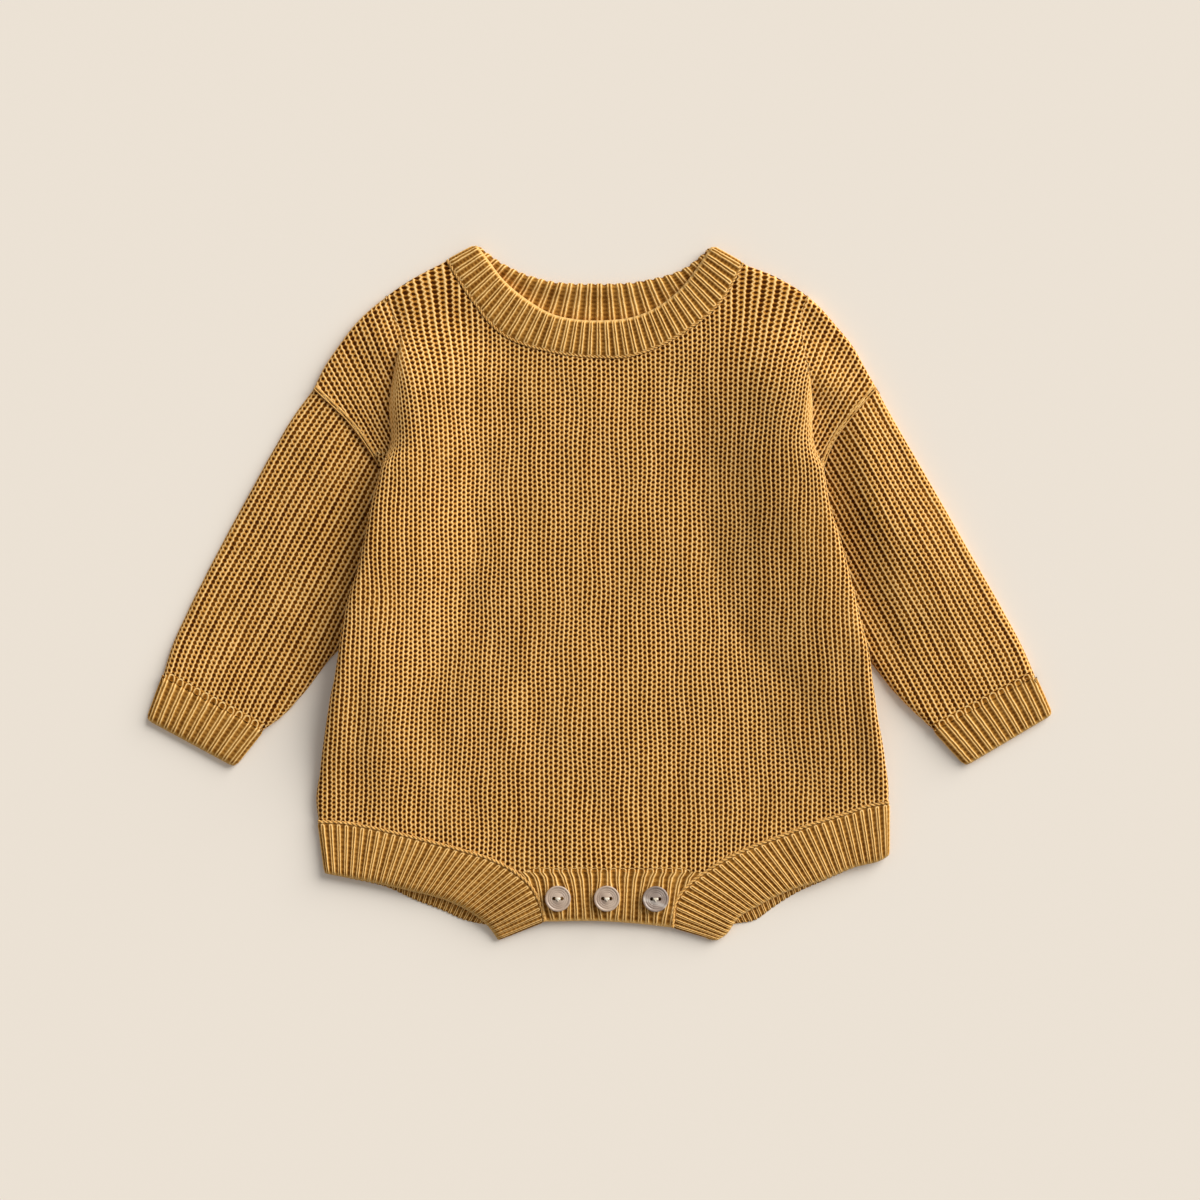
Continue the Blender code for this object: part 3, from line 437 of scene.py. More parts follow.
class Layer:
    """One face of a panel, on a lattice of wales and courses trimmed to an outline."""

    def __init__(self, outline, plan, height, wales, courses, steps):
        """wales and courses are the lattice's reach, and steps the sizes of its cells in them."""
        step_u, step_v = steps
        u = np.arange(wales[0], wales[1] + step_u / 2, step_u)
        v = np.arange(courses[0], courses[1] + step_v / 2, step_v)
        grid_u, grid_v = np.meshgrid(u, v)
        x, y = plan(grid_u, grid_v)
        flat = np.column_stack([x.ravel(), y.ravel()])
        distance, foot, out, radius, turn, run = outline.locate(flat)
        spacing = np.linalg.norm([x[0, 1] - x[0, 0], y[0, 1] - y[0, 0]])
        inside = distance - radius * (1 - turn) > SNAP * spacing
        angle = np.where(inside, np.clip((radius - distance) / radius, 0, turn), turn)
        near = (distance < radius) | ~inside
        straight = foot - out * radius[:, None]
        z = height(*np.where(near[:, None], straight, flat).T) - radius * (1 - np.cos(angle))
        rolled = straight + out * (radius * np.sin(angle))[:, None]
        points = np.column_stack([np.where(near[:, None], rolled, flat), z])
        number = np.arange(grid_u.size).reshape(grid_u.shape)
        corners = number[:-1, :-1], number[:-1, 1:], number[1:, 1:], number[1:, :-1]
        quads = np.stack(corners, axis=-1).reshape(-1, 4)
        quads = quads[inside[quads].any(axis=1)]
        used, packed = np.unique(quads, return_inverse=True)
        self.faces = packed.reshape(-1, 4)
        self.points = points[used]
        self.run = run[used]
        self.knit = np.column_stack([grid_u.ravel(), grid_v.ravel()])[used]
        self.edge = np.where(turn == 0, 1, np.clip(distance / (1.6 * radius), 0, 1))[used]
        corners = self.points[self.faces]
        normals = np.cross(corners[:, 2] - corners[:, 0], corners[:, 3] - corners[:, 1])
        if normals[:, 2].sum() < 0:
            self.faces = self.faces[:, ::-1]
            normals = -normals
        self.normals = np.zeros_like(self.points)
        for k in range(4):
            np.add.at(self.normals, self.faces[:, k], normals)
        self.normals /= np.maximum(np.linalg.norm(self.normals, axis=1, keepdims=True), 1e-9)

    def moved(self, amount):
        """The layer's points, moved out by an amount for each."""
        return self.points + self.normals * np.reshape(amount, (-1, 1))


def panel(outline, plan, height, wales, courses, steps, relief, wall=2.0, coarse=6, under=None,
          drawn=None, edge_relief=0.25, close=0.0):
    """Points, knit places and faces of a thin shell, and how many of the last faces are its cut edge.

    under turns it over, at this height. drawn tells how far the knit draws in at each place: 0 open,
    1 a rib, 2 a rib's plain rim. Right at the edges that roll under it is less by close, and below 0
    the knit closes up."""
    outer = Layer(outline, plan, height, wales, courses, steps)
    inner = Layer(outline, plan, height, wales, courses, (steps[0] * coarse, steps[1] * coarse))
    shares = [drawn(*layer.points[:, :2].T, layer.knit[:, 1]) if drawn else np.zeros(len(layer.points))
              for layer in (outer, inner)]
    shares[0] = shares[0] - close * (1 - np.clip(outer.edge * 3, 0, 1))
    depth = relief(outer.knit[:, 0], outer.knit[:, 1], shares[0])
    raised = outer.moved(depth * (edge_relief + (1 - edge_relief) * outer.edge))
    inside = inner.moved(-wall)
    distance, foot = outline.locate(inside[:, :2])[:2]
    strayed = distance < 0
    inside[strayed, :2] = foot[strayed]
    points = np.concatenate([raised, inside])
    knit = np.concatenate([np.column_stack([layer.knit, share])
                           for layer, share in zip((outer, inner), shares)])
    sides = outer.faces.tolist(), (inner.faces[:, ::-1] + len(raised)).tolist()
    loops = [max(boundary_loops(side), key=len) for side in sides]
    rim = lace(*loops, np.concatenate([outer.run, inner.run]), outline.length)
    faces = [*sides[0], *sides[1], *rim]
    if under is not None:
        points = points * (1, 1, -1) + (0, 0, under)
        faces = [face[::-1] for face in faces]
    points[:, 2] = np.maximum(points[:, 2], 0)
    return points, knit, faces, len(rim)


def placed(name, data):
    """A new object in the scene."""
    made = bpy.data.objects.new(name, data)
    bpy.context.scene.collection.objects.link(made)
    return made


def build(name, shells, material):
    """One object of several shells, with its material and its knit attribute."""
    points = np.concatenate([shell[0] for shell in shells]) / 1000
    knit = np.concatenate([shell[1] for shell in shells])
    faces, smooth, start = [], [], 0
    for shell in shells:
        faces += [tuple(n + start for n in face) for face in shell[2]]
        smooth += [True] * (len(shell[2]) - shell[3]) + [False] * shell[3]
        start += len(shell[0])
    mesh = bpy.data.meshes.new(name)
    mesh.from_pydata(points.tolist(), [], faces)
    mesh.polygons.foreach_set("use_smooth", smooth)
    mesh.validate()
    layer = mesh.attributes.new("knit", "FLOAT_VECTOR", "POINT")
    layer.data.foreach_set("vector", knit.ravel())
    mesh.materials.append(material)
    return placed(name, mesh)


# -------- relief of the knits

def rib_relief(u, v, drawn):
    """Each rib has two legs with a narrow groove between them, over a broader valley."""
    off = np.abs(u - np.floor(u) - 0.5)
    legs = np.interp(off, (0, 0.125, 0.25, 0.375), (0.7, 1, 0.6, 0)) * ramp(v, 0.0, 1.0)
    rim = ramp(drawn, 1.2, 1.8)
    return RIB_DEPTH * (legs * (1 - rim) + 0.45 * rim)


def body_relief(u, v, drawn):
    """Half cardigan: larger holes in the valleys, and between the two legs of each wale smaller
    ones, a little lower. Where it is drawn in it turns into a rib."""
    across = np.cos(2 * pi * u)
    rib, half = ramp(drawn, 0.6, 1.0), ramp(drawn, 0.0, 0.6)
    size = (1 + 0.2 * uneven(u, v, 0.9)) * (1 - 0.8 * ramp(-drawn, 0, 1))
    large = size * (1 - rib) * (0.5 + 0.5 * np.cos(2 * pi * v))
    small = size * (1 - rib) * (0.5 + 0.5 * np.cos(2 * pi * (v + SMALL_DROP)))
    valley = np.maximum(across, 0) * (0.10 + 0.42 * large * (1 - 0.4 * half) + 0.14 * half + 0.36 * rib)
    between_legs = np.maximum(-across, 0) * (0.05 + 0.36 * small)
    return STITCH_DEPTH * (0.45 * (1 - np.abs(across)) - valley - between_legs)


def plain(u, v, drawn):
    return np.zeros_like(u)


# -------- materials

class Value:
    """A number in a material, which takes plain arithmetic."""

    def __init__(self, shader, socket):
        self.shader, self.socket = shader, socket

    def __rsub__(self, other):
        return self.shader.do("SUBTRACT", other, self)

    def __abs__(self):
        return self.shader.do("ABSOLUTE", self)


def operator(operation):
    """A method that joins two numbers in a material."""
    return lambda value, other: value.shader.do(operation, value, other)


Value.__add__ = Value.__radd__ = operator("ADD")
Value.__mul__ = Value.__rmul__ = operator("MULTIPLY")
Value.__sub__, Value.__truediv__ = operator("SUBTRACT"), operator("DIVIDE")


class Shader:
    """A material under construction, with short names for its nodes."""

    def __init__(self, name, roughness, gloss=0.5):
        self.material = bpy.data.materials.new(name)
        self.material.use_nodes = True
        self.tree = self.material.node_tree
        self.surface = self.tree.nodes["Principled BSDF"]
        self.feed(self.surface, {"Roughness": roughness, "Specular IOR Level": gloss})

    def feed(self, node, inputs):
        """Sets or links inputs of a node."""
        for key, value in inputs.items():
            value = value.socket if isinstance(value, Value) else value
            if isinstance(value, bpy.types.NodeSocket):
                self.tree.links.new(value, node.inputs[key])
            else:
                node.inputs[key].default_value = value

    def add(self, kind, inputs, **settings):
        node = self.tree.nodes.new("ShaderNode" + kind)
        for name, setting in settings.items():
            setattr(node, name, setting)
        self.feed(node, inputs)
        return node

    def do(self, operation, *values):
        return Value(self, self.add("Math", dict(enumerate(values)), operation=operation).outputs[0])

    def wave(self, value):
        """Cosine that repeats every 1."""
        return self.do("COSINE", value * (2 * pi))

    def away(self, value, at=0.0):
        """Distance from the nearest place that is a whole number from at."""
        return self.do("PINGPONG", value - at, 0.5)

    def rise(self, value, start, end, low=0.0, high=1.0):
        inputs = dict(enumerate((value, start, end, low, high)))
        return Value(self, self.add("MapRange", inputs, interpolation_type="SMOOTHSTEP").outputs[0])

    def parts(self, vector):
        return [Value(self, part) for part in self.add("SeparateXYZ", {0: vector}).outputs]

    def knit(self):
        """Wale, course and drawn-in share of the shading point."""
        return self.parts(self.add("Attribute", {}, attribute_name="knit").outputs["Vector"])

    def place(self):
        return self.add("TexCoord", {}).outputs["Object"]

    def vector(self, x, y, z=0.0):
        return self.add("CombineXYZ", {0: x, 1: y, 2: z}).outputs[0]

    def noise(self, where, scale, detail=2.0):
        """Noise about 0, mostly within half a unit each way."""
        inputs = {"Vector": where, "Scale": scale, "Detail": detail}
        return Value(self, self.add("TexNoise", inputs).outputs["Fac"]) - 0.5

    def ramp(self, value, stops):
        """Colour by value, from (position, colour) stops."""
        node = self.add("ValToRGB", {0: value})
        band = node.color_ramp
        band.elements[0].position, band.elements[-1].position = stops[0][0], stops[-1][0]
        for position, _ in stops[1:-1]:
            band.elements.new(position)
        for element, (_, colour) in zip(band.elements, stops):
            element.color = (*colour, 1)
        return node.outputs[0]

    def mix(self, share, a, b, kind="MIX"):
        inputs = {0: share, 6: a, 7: b}
        return self.add("Mix", inputs, data_type="RGBA", blend_type=kind).outputs[2]

    def bump(self, height, distance, strength):
        node = self.add("Bump", {"Height": height, "Distance": distance, "Strength": strength})
        self.feed(self.surface, {"Normal": node.outputs[0]})

    def colour(self, value):
        self.feed(self.surface, {"Base Color": value})


# Painted shade in the holes.
HOLE_SHADE = (0.046, 0.0095, 0.0001)
# Painted shade in the valleys and round the holes.
SHADE = (0.215, 0.070, 0.0042)
YARN = (0.56, 0.250, 0.041)
# Painted highlight on the legs.
LEG_HIGHLIGHT = (0.93, 0.61, 0.245)
# Painted shade in the ribs' valleys.
RIB_SHADE = (0.188, 0.070, 0.0075)
RIB_YARN = (0.52, 0.250, 0.047)


def tinted(shader, tone, where):
    """The tone with soft lighter and darker patches, as in dyed yarn."""
    patches = shader.noise(where, 16.0) + shader.noise(where, 75.0) * 0.5
    tint = shader.rise(patches, -0.45, 0.45, 0.92, 1.06)
    return shader.mix(1.0, tone, shader.vector(tint, tint, tint), "MULTIPLY")


def stitches(shader, u, v, drawn, arched, wear):
    """How deep the knit is at a point: 0 on its legs and 1 in its holes. Its colour follows this, from
    a painted highlight on the legs to painted shade in the valleys and holes.

    Open, it has larger holes in the valleys, and smaller ones between the two legs of each wale.
    Drawn in, the holes close into the lines of a rib, and below 0, as on the flank of a fold, they
    close up. Where a wale turns into a rib, the legs meet over the valleys. Arched, they meet over
    each rib at the first course.
    wear is the share by which the holes are larger than usual."""
    half, rib = shader.rise(drawn, 0.0, 0.6), shader.rise(drawn, 0.6, 1.0)
    open_share = 1 - rib
    middle = shader.away(u, 0.5)
    if arched:
        closing = shader.do("MAXIMUM", 0.9 - v, 0.0) * 0.4
        middle = shader.do("SQRT", middle * middle + closing * closing)
    else:
        arch = shader.rise(rib, 0.0, 0.04) * shader.rise(rib, 0.04, 0.6, 0.33, 0.0)
        middle = 0.5 - shader.do("SQRT", (0.5 - middle) * (0.5 - middle) + arch * arch)
    valley = 0.5 - middle
    flank = shader.do("SINE", u * (2 * pi))
    bend = shader.wave(v - 0.1) * open_share * (0.055 + flank * 0.025)
    leg = shader.rise(abs(middle - (0.25 - rib * 0.08 - bend)), 0.02, 0.125 - rib * 0.035, 1.0, 0.0)
    brighter = flank * open_share * -0.05
    # Beads of painted highlight along the legs.
    beads = shader.wave(v + 0.35) * 0.09

    def hole(across, down, wide, tall):
        across, down = across / wide, down * open_share / tall
        return shader.rise(shader.do("SQRT", across * across + down * down), 0.45, 1.0, 1.0, 0.0)

    large = hole(valley, shader.away(v), 0.25, 0.41 + half * 0.12) * (0.60 - half * 0.28 - rib * 0.08)
    small = hole(middle, shader.away(v, -SMALL_DROP), 0.21 - half * 0.03 - rib * 0.095, 0.41)
    small = small * (0.60 - half * 0.04 - rib * 0.31)
    bars = shader.rise(valley, 0.08, 0.27, 1.0, 0.0) * (0.05 + half * 0.15 - rib * 0.20)
    rungs = shader.wave(v) * shader.rise(valley, 0.16, 0.26, 1.0, 0.0) * rib * 0.07
    closed = shader.rise(drawn, -1.0, 0.0, 0.8, 0.0)
    holes = (large + small) * (1 + wear - closed) + bars * (1 - closed)
    return 0.42 - closed * 0.2 - leg * (0.44 + brighter + beads) + holes + rungs


def knit_material(name, rib):
    """A knitted cloth. In a rib the attribute's third part tells the plain rim of a band."""
    shader = Shader(name, 0.85, gloss=0.05)
    wale, course, drawn = shader.knit()
    where = shader.place()
    u = wale + shader.noise(where, 300.0, 1.0) * 0.10
    v = course + shader.noise(where, 210.0, 1.0) * 0.26
    plies = shader.noise(shader.vector(u * 9.0, v * 5.0), 1.0, 3.0)
    streaks = shader.noise(shader.vector(u * 1.3, v * 0.06), 1.0, 1.0)
    wear = shader.noise(where, 42.0, 1.0) * 0.5 + shader.noise(where, 190.0, 1.0) * 0.35
    depth = stitches(shader, u, v, 1.0 if rib else drawn, rib, wear)
    depth = depth + shader.noise(where, 330.0, 1.0) * 0.22 + plies * 0.30 + streaks * 0.35
    if rib:
        rim = shader.rise(drawn, 1.2, 1.8)
        # The plain rim is painted lighter, towards the painted highlight, to offset the shade on its
        # rolled edge.
        depth = depth * (1 - rim) + (0.19 + plies * 0.7) * rim
    yarn, shade = (RIB_YARN, RIB_SHADE) if rib else (YARN, SHADE)
    # Colour by depth: a painted highlight on the legs, the yarn's own tone, then painted shade in the
    # valleys and holes.
    tone = shader.ramp(depth, ((0.0, LEG_HIGHLIGHT), (0.42, yarn), (0.70, shade), (1.0, HOLE_SHADE)))
    shader.colour(tinted(shader, tone, where))
    shader.bump(depth * -1.0, 0.0007, 0.6)
    return shader.material


def yarn_material(name, colour, light):
    """Plain twisted yarn, for seams and thread."""
    shader = Shader(name, 0.85, gloss=0.08)
    where = shader.place()
    grain = shader.rise(shader.noise(where, 900.0, 3.0), -0.3, 0.3)
    shader.colour(shader.mix(grain, (*colour, 1), (*light, 1)))
    shader.bump(grain, 0.0002, 0.5)
    return shader.material


def button_material(name, dark, light, streak):
    """Turned resin with a soft grain, and a pearly streak of this strength over the third button."""
    shader = Shader(name, 0.38)
    shader.feed(shader.surface, {"Coat Weight": 0.25, "Coat Roughness": 0.2})
    where = shader.place()
    grain = shader.noise(where, 330.0, 3.0)
    cloud = shader.noise(where, 120.0, 2.0)
    share = shader.rise(cloud + grain * 0.4, -0.3, 0.3)
    base = shader.mix(share, (*dark, 1), (*light, 1))
    across, up, _ = shader.parts(where)
    x, y = (size / 1000 for size in BUTTONS["button_3"])
    lean, below = 0.35, 0.0015  # slope of the streak, and its distance below the button's middle
    offset = abs(up + across * lean + cloud * 0.004 + (below - y - lean * x))
    pearl = shader.rise(offset, 0.0002, 0.0016, 1.0, 0.0) * streak
    shader.colour(shader.mix(pearl, base, (0.62, 0.56, 0.50, 1)))
    shader.bump(grain, 0.0001, 0.3)
    return shader.material


# -------- body

def shoulder_parts(side):
    """The shoulder fold from the neck to the crease, and from the crease to the sleeve."""
    line = dense(SIDES[side]["shoulder"][::-1], 1.0)
    gap = fan_place(side, FAN_FIRST, line[:, 1])[0] - line[:, 0]
    split = int(np.abs(gap).argmin())
    return line[:split + 1], line[split:]


def crease_line(side):
    """The crease from the shoulder down to the armpit."""
    table = SIDES[side]
    start = shoulder_parts(side)[0][-1]
    return dense((tuple(start), fan_place(side, FAN_FIRST, 141.0), *table["crease"][::-1]))


def ridge(side, y):
    """Height of the fold along a crease, over the rest of the front."""
    return FULLER[side] * RIDGE * (1 - ramp(y, *RIDGE_FADE))


def body_plan(u, v):
    """Where the body's wale u meets its course v."""
    y = v * COURSE
    off = np.abs(u)
    inner = np.minimum(off, MIDDLE_WALES) * WALE
    x = np.sign(u) * (inner + np.maximum(off - MIDDLE_WALES, 0) * WALE_AT_SIDES) + WALE_SHIFT
    above = np.maximum(y - LEAN_START, 0)
    bend = np.where(above < LEAN_BEND, above**2 / (2 * LEAN_BEND), above - LEAN_BEND / 2)
    lean = LEAN * ramp(np.abs(x), *LEAN_OFF) * bend
    widen = 1 + WIDEN * ramp(-y, *WIDEN_DOWN)
    x = x * widen + np.sign(x) * lean
    for side, table in SIDES.items():
        short = within(side, crease_line(side), x, y)
        share = np.clip((short + CROWD_OUT) / (CROWD_IN + CROWD_OUT), 0, 1)
        crowded = CROWD_IN * share**1.25 + np.minimum(short + CROWD_OUT, 0)
        crowded = np.where(short < CROWD_IN, crowded, short)
        near = ramp(y, ARMPIT - 22, ARMPIT + 10) * (1 - ramp(y, 100, 128))
        x = x + (short - crowded) * near * table["toward"]
    return warped(x, y)


def warped(x, y):
    """Places in the cloth, as unevenly as it is laid."""
    return x + 0.55 * uneven(x, y, 13.0), y + 0.8 * uneven(y, x, 19.0)


def fan_place(side, angle, y):
    """Where a yoke's wale in this direction meets the course that crosses its first wale at y."""
    table = SIDES[side]
    reach = (y - table["fan"][1]) / np.sin(FAN_FIRST)
    return (table["fan"][0] + table["toward"] * reach * np.cos(angle),
            table["fan"][1] + reach * np.sin(angle))


def yoke_plan(side):
    """Where a yoke's wales, which fan out, meet its courses. The first goes on from the body's."""
    toward = SIDES[side]["toward"]
    x, y = fan_place(side, FAN_FIRST, 140.0)
    wales = np.linspace(15, 32, 400)
    places = body_plan(toward * wales, np.full(400, y / COURSE))[0]
    first = np.interp(x * toward, places * toward, wales)

    def plan(u, v):
        return warped(*fan_place(side, FAN_FIRST - FAN_STEP * (toward * u - first), v * COURSE))

    return plan


def side_radius(points):
    """Roundness of the body's side fold, which is rounder the higher it lies."""
    rise = front_height(points[:, 0], points[:, 1]) - TOP_Z
    return FOLD_RADIUS + SIDE_ROUND * np.maximum(rise, 0)


def front_outline():
    """The front without its yokes. Along the joints with them, above the creases, it ends flat."""
    around, corners = {}, []
    for side in ("r", "l"):
        line = crease_line(side)
        y = line[:, 1]
        fold = side_radius(line)
        height = ridge(side, y) * (1 - ramp(y, *MEETING[side]))
        radius = np.maximum(fold + (height - fold) * ramp(y, ARMPIT, ARMPIT + 12), JOINT_RADIUS)
        turn = pi / 2 * (2 - ramp(y, 55, 70)) * (y < MEETING[side][1])
        edge, hem = dense(SIDES[side]["side"]), dense(SIDES[side]["leg_seam"])
        hem = hem[hem[:, 1] > PLACKET_TOP_Y]
        corners.append((hem[-1][0], PLACKET_TOP_Y))
        around[side] = [(shoulder_parts(side)[0], FOLD_RADIUS, pi), (line, radius, turn),
                        (edge, side_radius(edge), pi), (hem, SEAM_RADIUS, pi / 2)]
    return Outline((dense(NECK_SEAM), SEAM_RADIUS, pi / 2), *around["r"],
                   (dense(corners), JOINT_RADIUS, 0.0), *backwards(around["l"]))


def yoke_height(side):
    """Top of a yoke, which rises towards the body's fold, and meets its top near the shoulder."""
    line = crease_line(side)

    def height(x, y):
        meets = ramp(y, *MEETING[side])
        rise = YOKE_RISE[side] * ramp(y, 66, 92) * (1 - meets) + ridge(side, y) * meets
        slope = 1 - ramp(-within(side, line, x, y), 0, 26)
        outer = YOKE_OUTER[side] * (1 - slope) * (1 - meets)
        return TOP_Z + creases(x, y) + LUMP * uneven(x, y, LUMP_SIZE) + rise * slope + outer

    return height


def yoke(side):
    """The shoulder beyond the crease. Its wales dive under the body's fold."""
    table = SIDES[side]
    line = crease_line(side)
    tuck = 0.2 + 2.3 * (1 - ramp(line[:, 1], *MEETING[side]))
    tucked = line - np.outer(tuck * table["toward"], (1, 0))
    outline = Outline((shoulder_parts(side)[1], FOLD_RADIUS, pi),
                      (dense(table["armhole"]), SEAM_RADIUS, pi / 2),
                      (tucked[::-1], JOINT_RADIUS, 0.0))

    def drawn(x, y, v):
        """Drawn in by half, and closed up along the joint above the crease."""
        joint = 1 - ramp(-within(side, line, x, y), 0.6, 2.6)
        return 0.45 - 0.12 * ramp(y, 118, 138) - 0.9 * joint * ramp(y, *MEETING[side])

    wales = sorted(table["toward"] * wale for wale in YOKE_WALES)
    return panel(outline, yoke_plan(side), yoke_height(side), wales, YOKE_COURSES, STEPS, body_relief,
                 drawn=drawn, close=EDGE_CLOSE)


def front(material):
    body = panel(front_outline(), body_plan, front_height, BODY_WALES, BODY_COURSES, STEPS, body_relief,
                 drawn=lambda x, y, v: closed_up(x, y) + np.maximum(ribbed(x, y), half_drawn(x, y)),
                 close=EDGE_CLOSE / 3)
    return build("front_cloth", [body, yoke("l"), yoke("r")], material)


def back(material):
    """The back lies under the front, its face down, and ends where the front's folds come round."""
    stretches = []
    for side in ("r", "l"):
        table = SIDES[side]
        hem = dense(table["back_leg_seam"])
        around = [(dense(table["shoulder"][::-1]), FOLD_RADIUS, 0.0),
                  (dense(table["armhole"]), SEAM_RADIUS, 0.0),
                  (dense(table["side"]), FOLD_RADIUS, 0.0),
                  (hem[hem[:, 1] > PLACKET_BACK_TOP_Y], SEAM_RADIUS, 0.0)]
        stretches += around if side == "r" else backwards(around)
    outline = Outline((dense(BACK_NECK_SEAM), SEAM_RADIUS, 0.0), *stretches)
    shell = panel(outline, body_plan, lambda x, y: -lift(x, y), BACK_WALES, BODY_COURSES, (0.5, 1.0),
                  plain, wall=WALL - 0.4, coarse=5, under=0.0)
    return build("back_cloth", [shell], material)


# -------- sleeves and cuffs

def sleeve_plan(side):
    """Where a sleeve's wales, which follow its outer edge, meet its courses."""
    table = SIDES[side]
    outer = dense(table["sleeve_outer"], 1.0)
    along = np.diff(outer, axis=0)
    run = np.concatenate([[0], np.cumsum(np.linalg.norm(along, axis=1))])
    chord = (outer[-1] - outer[0]) / np.linalg.norm(outer[-1] - outer[0])
    inner = np.array([chord[1], -chord[0]]) * table["toward"]

    def plan(u, v):
        place = v * COURSE
        held = np.clip(place, 0, run[-1])
        ease = np.clip(u * SLEEVE_WALE / 60, 0, 1)
        straight = outer[0] + held[..., None] / run[-1] * (outer[-1] - outer[0])
        curved = np.stack([np.interp(held, run, outer[:, k]) for k in (0, 1)], axis=-1)
        base = curved + (straight - curved) * ease[..., None] + chord * (place - held)[..., None]
        x, y = (base[..., k] + inner[k] * u * SLEEVE_WALE for k in (0, 1))
        return x + 0.5 * uneven(u, v / 3, 2.6), y + 0.6 * uneven(v / 3, u, 3.1)

    return plan


def across_to(line, x, y):
    """Distance from a straight line."""
    start, end = np.array(line[0], float), np.array(line[-1], float)
    along = (end - start) / np.linalg.norm(end - start)
    return np.abs((x - start[0]) * along[1] - (y - start[1]) * along[0])


def sleeve_height(side):
    """Top of a sleeve: pressed flat under the body, fuller outside it, and falling to its folds."""
    table = SIDES[side]

    def height(x, y):
        outside = -within(side, table["side"], x, np.minimum(y, ARMPIT))
        rise = SLEEVE_PUFF[side] + SLEEVE_CROWN[side] * ramp(y, -40, 40)
        fall = 0.3 + 0.7 * ramp(within(side, table["sleeve_outer"], x, y), 0, SLEEVE_FALL[side])
        rise = rise * ramp(outside, *SLEEVE_RISE[side]) * fall
        top = SLEEVE_LOW[side] + rise + 0.4 * uneven(x, y, 12.0)
        return CUFF_TOP + (top - CUFF_TOP) * ramp(across_to(table["cuff_seam"], x, y), -4, 42)

    return height


def sleeve(side, material):
    table = SIDES[side]
    folds = ((dense(table["sleeve_outer"]), SLEEVE_RADIUS, pi),
             (dense(table["cuff_seam"]), JOINT_RADIUS, 0.0),
             (dense(table["sleeve_inner"][::-1]), SLEEVE_RADIUS, pi),
             (dense(table["sleeve_top"][::-1]), SEAM_RADIUS, pi / 2))

    def drawn(x, y, v):
        """The sleeves' wales are drawn in all along, and turn into the cuff's ribs."""
        return 0.55 + 0.45 * (1 - ramp(across_to(table["cuff_seam"], x, y), 0.5, 4.5))

    shells = [
        panel(Outline(*folds), sleeve_plan(side), sleeve_height(side), (-3, 19), SLEEVE_COURSES, STEPS,
              body_relief, wall=SLEEVE_WALL, drawn=drawn, close=EDGE_CLOSE),
        panel(Outline(*flattened(folds)), sleeve_plan(side), level(0.0), (-1, 19), SLEEVE_COURSES,
              (1.0, 2.0), plain, wall=SLEEVE_WALL, coarse=3, under=0.0, drawn=drawn),
    ]
    return build(f"sleeve_{side}_cloth", shells, material)


def between(seam, edge, ribs, courses, first=0.0, crowd=0.0):
    """Where a band's rib u meets its course v, which is the first one at the seam.

    crowd is the share by which its ribs are wider than even at its start, and they crowd at its end."""
    def plan(u, v):
        run = (1 + crowd) * u / ribs - crowd * (u / ribs) ** 5
        share = (v[..., None] - first) / courses
        place = smooth(seam, run) * (1 - share) + smooth(edge, run) * share
        return place[..., 0], place[..., 1]

    return plan


def level(z):
    return lambda x, y: np.full_like(x, z)


def rimmed(last):
    """Draws a band in to a rib, with a plain rim from this course on."""
    return lambda x, y, v: 1 + ramp(v, last - 0.75, last - 0.25)


def cuff_height(side):
    """Top of a cuff, which sinks towards its free edge."""
    edge = SIDES[side]["cuff_edge"]
    return lambda x, y: CUFF_TOP - RIB_SINK - 1.1 * (1 - ramp(across_to(edge, x, y), 0, 12))


def cuff(side, material):
    """The sleeve's wales go on as the cuff's ribs."""
    table = SIDES[side]
    seam, edge = table["cuff_seam"], table["cuff_edge"]
    ribs = np.linalg.norm(np.subtract(*seam)) / SLEEVE_WALE
    sides = [dense((seam[k], edge[k])) for k in (0, 1)]
    courses, first = 10, 2.0
    plan = between(seam, edge, ribs, courses, first)
    turns = ((dense(seam)[::-1], JOINT_RADIUS, 0.0), (sides[0], CUFF_RADIUS, pi),
             (dense(edge), EDGE_RADIUS, pi), (sides[1][::-1], CUFF_RADIUS, pi))
    shells = [
        panel(Outline(*turns, rounds=2), plan, cuff_height(side), (-3, 15), (1, 15), RIB_STEPS,
              rib_relief, wall=SLEEVE_WALL, drawn=rimmed(first + courses + RIM), edge_relief=1.0),
        panel(Outline(*flattened(turns), rounds=2), plan, level(0.0), (0, 12), (1, 13), (0.5, 1.0),
              plain, wall=SLEEVE_WALL, coarse=4, under=0.0),
    ]
    return build(f"cuff_{side}_cloth", shells, material)


# -------- bands

def tip_height(x, y):
    """Top of a leg band, whose tip beside the placket sinks towards the surface."""
    return TOP_Z - 2.2 * ramp(-y, 160, 173)


def back_neck_height(x, y):
    """Top of the neckband's back arc, which slopes down into the neck."""
    edge = y_at(BACK_NECK_EDGE, x)
    return 1.2 + 1.9 * ramp(y, edge - 10, edge - 0.5)


def band_outline(seam, edge, folds, edge_turn, fold_turn):
    """Outline of a band: its seam, far end, free edge and first end. Only its folds roll under."""
    first, last = dense((edge[0], seam[0])), dense((seam[-1], edge[-1]))
    far_end = (last, FOLD_RADIUS, fold_turn) if folds == 2 else (last, 1.0, pi / 2)
    return Outline((dense(seam), SEAM_RADIUS, pi / 2), far_end,
                   (dense(edge)[::-1], EDGE_RADIUS, edge_turn), (first, FOLD_RADIUS, fold_turn),
                   rounds=3 if folds == 2 else 1)


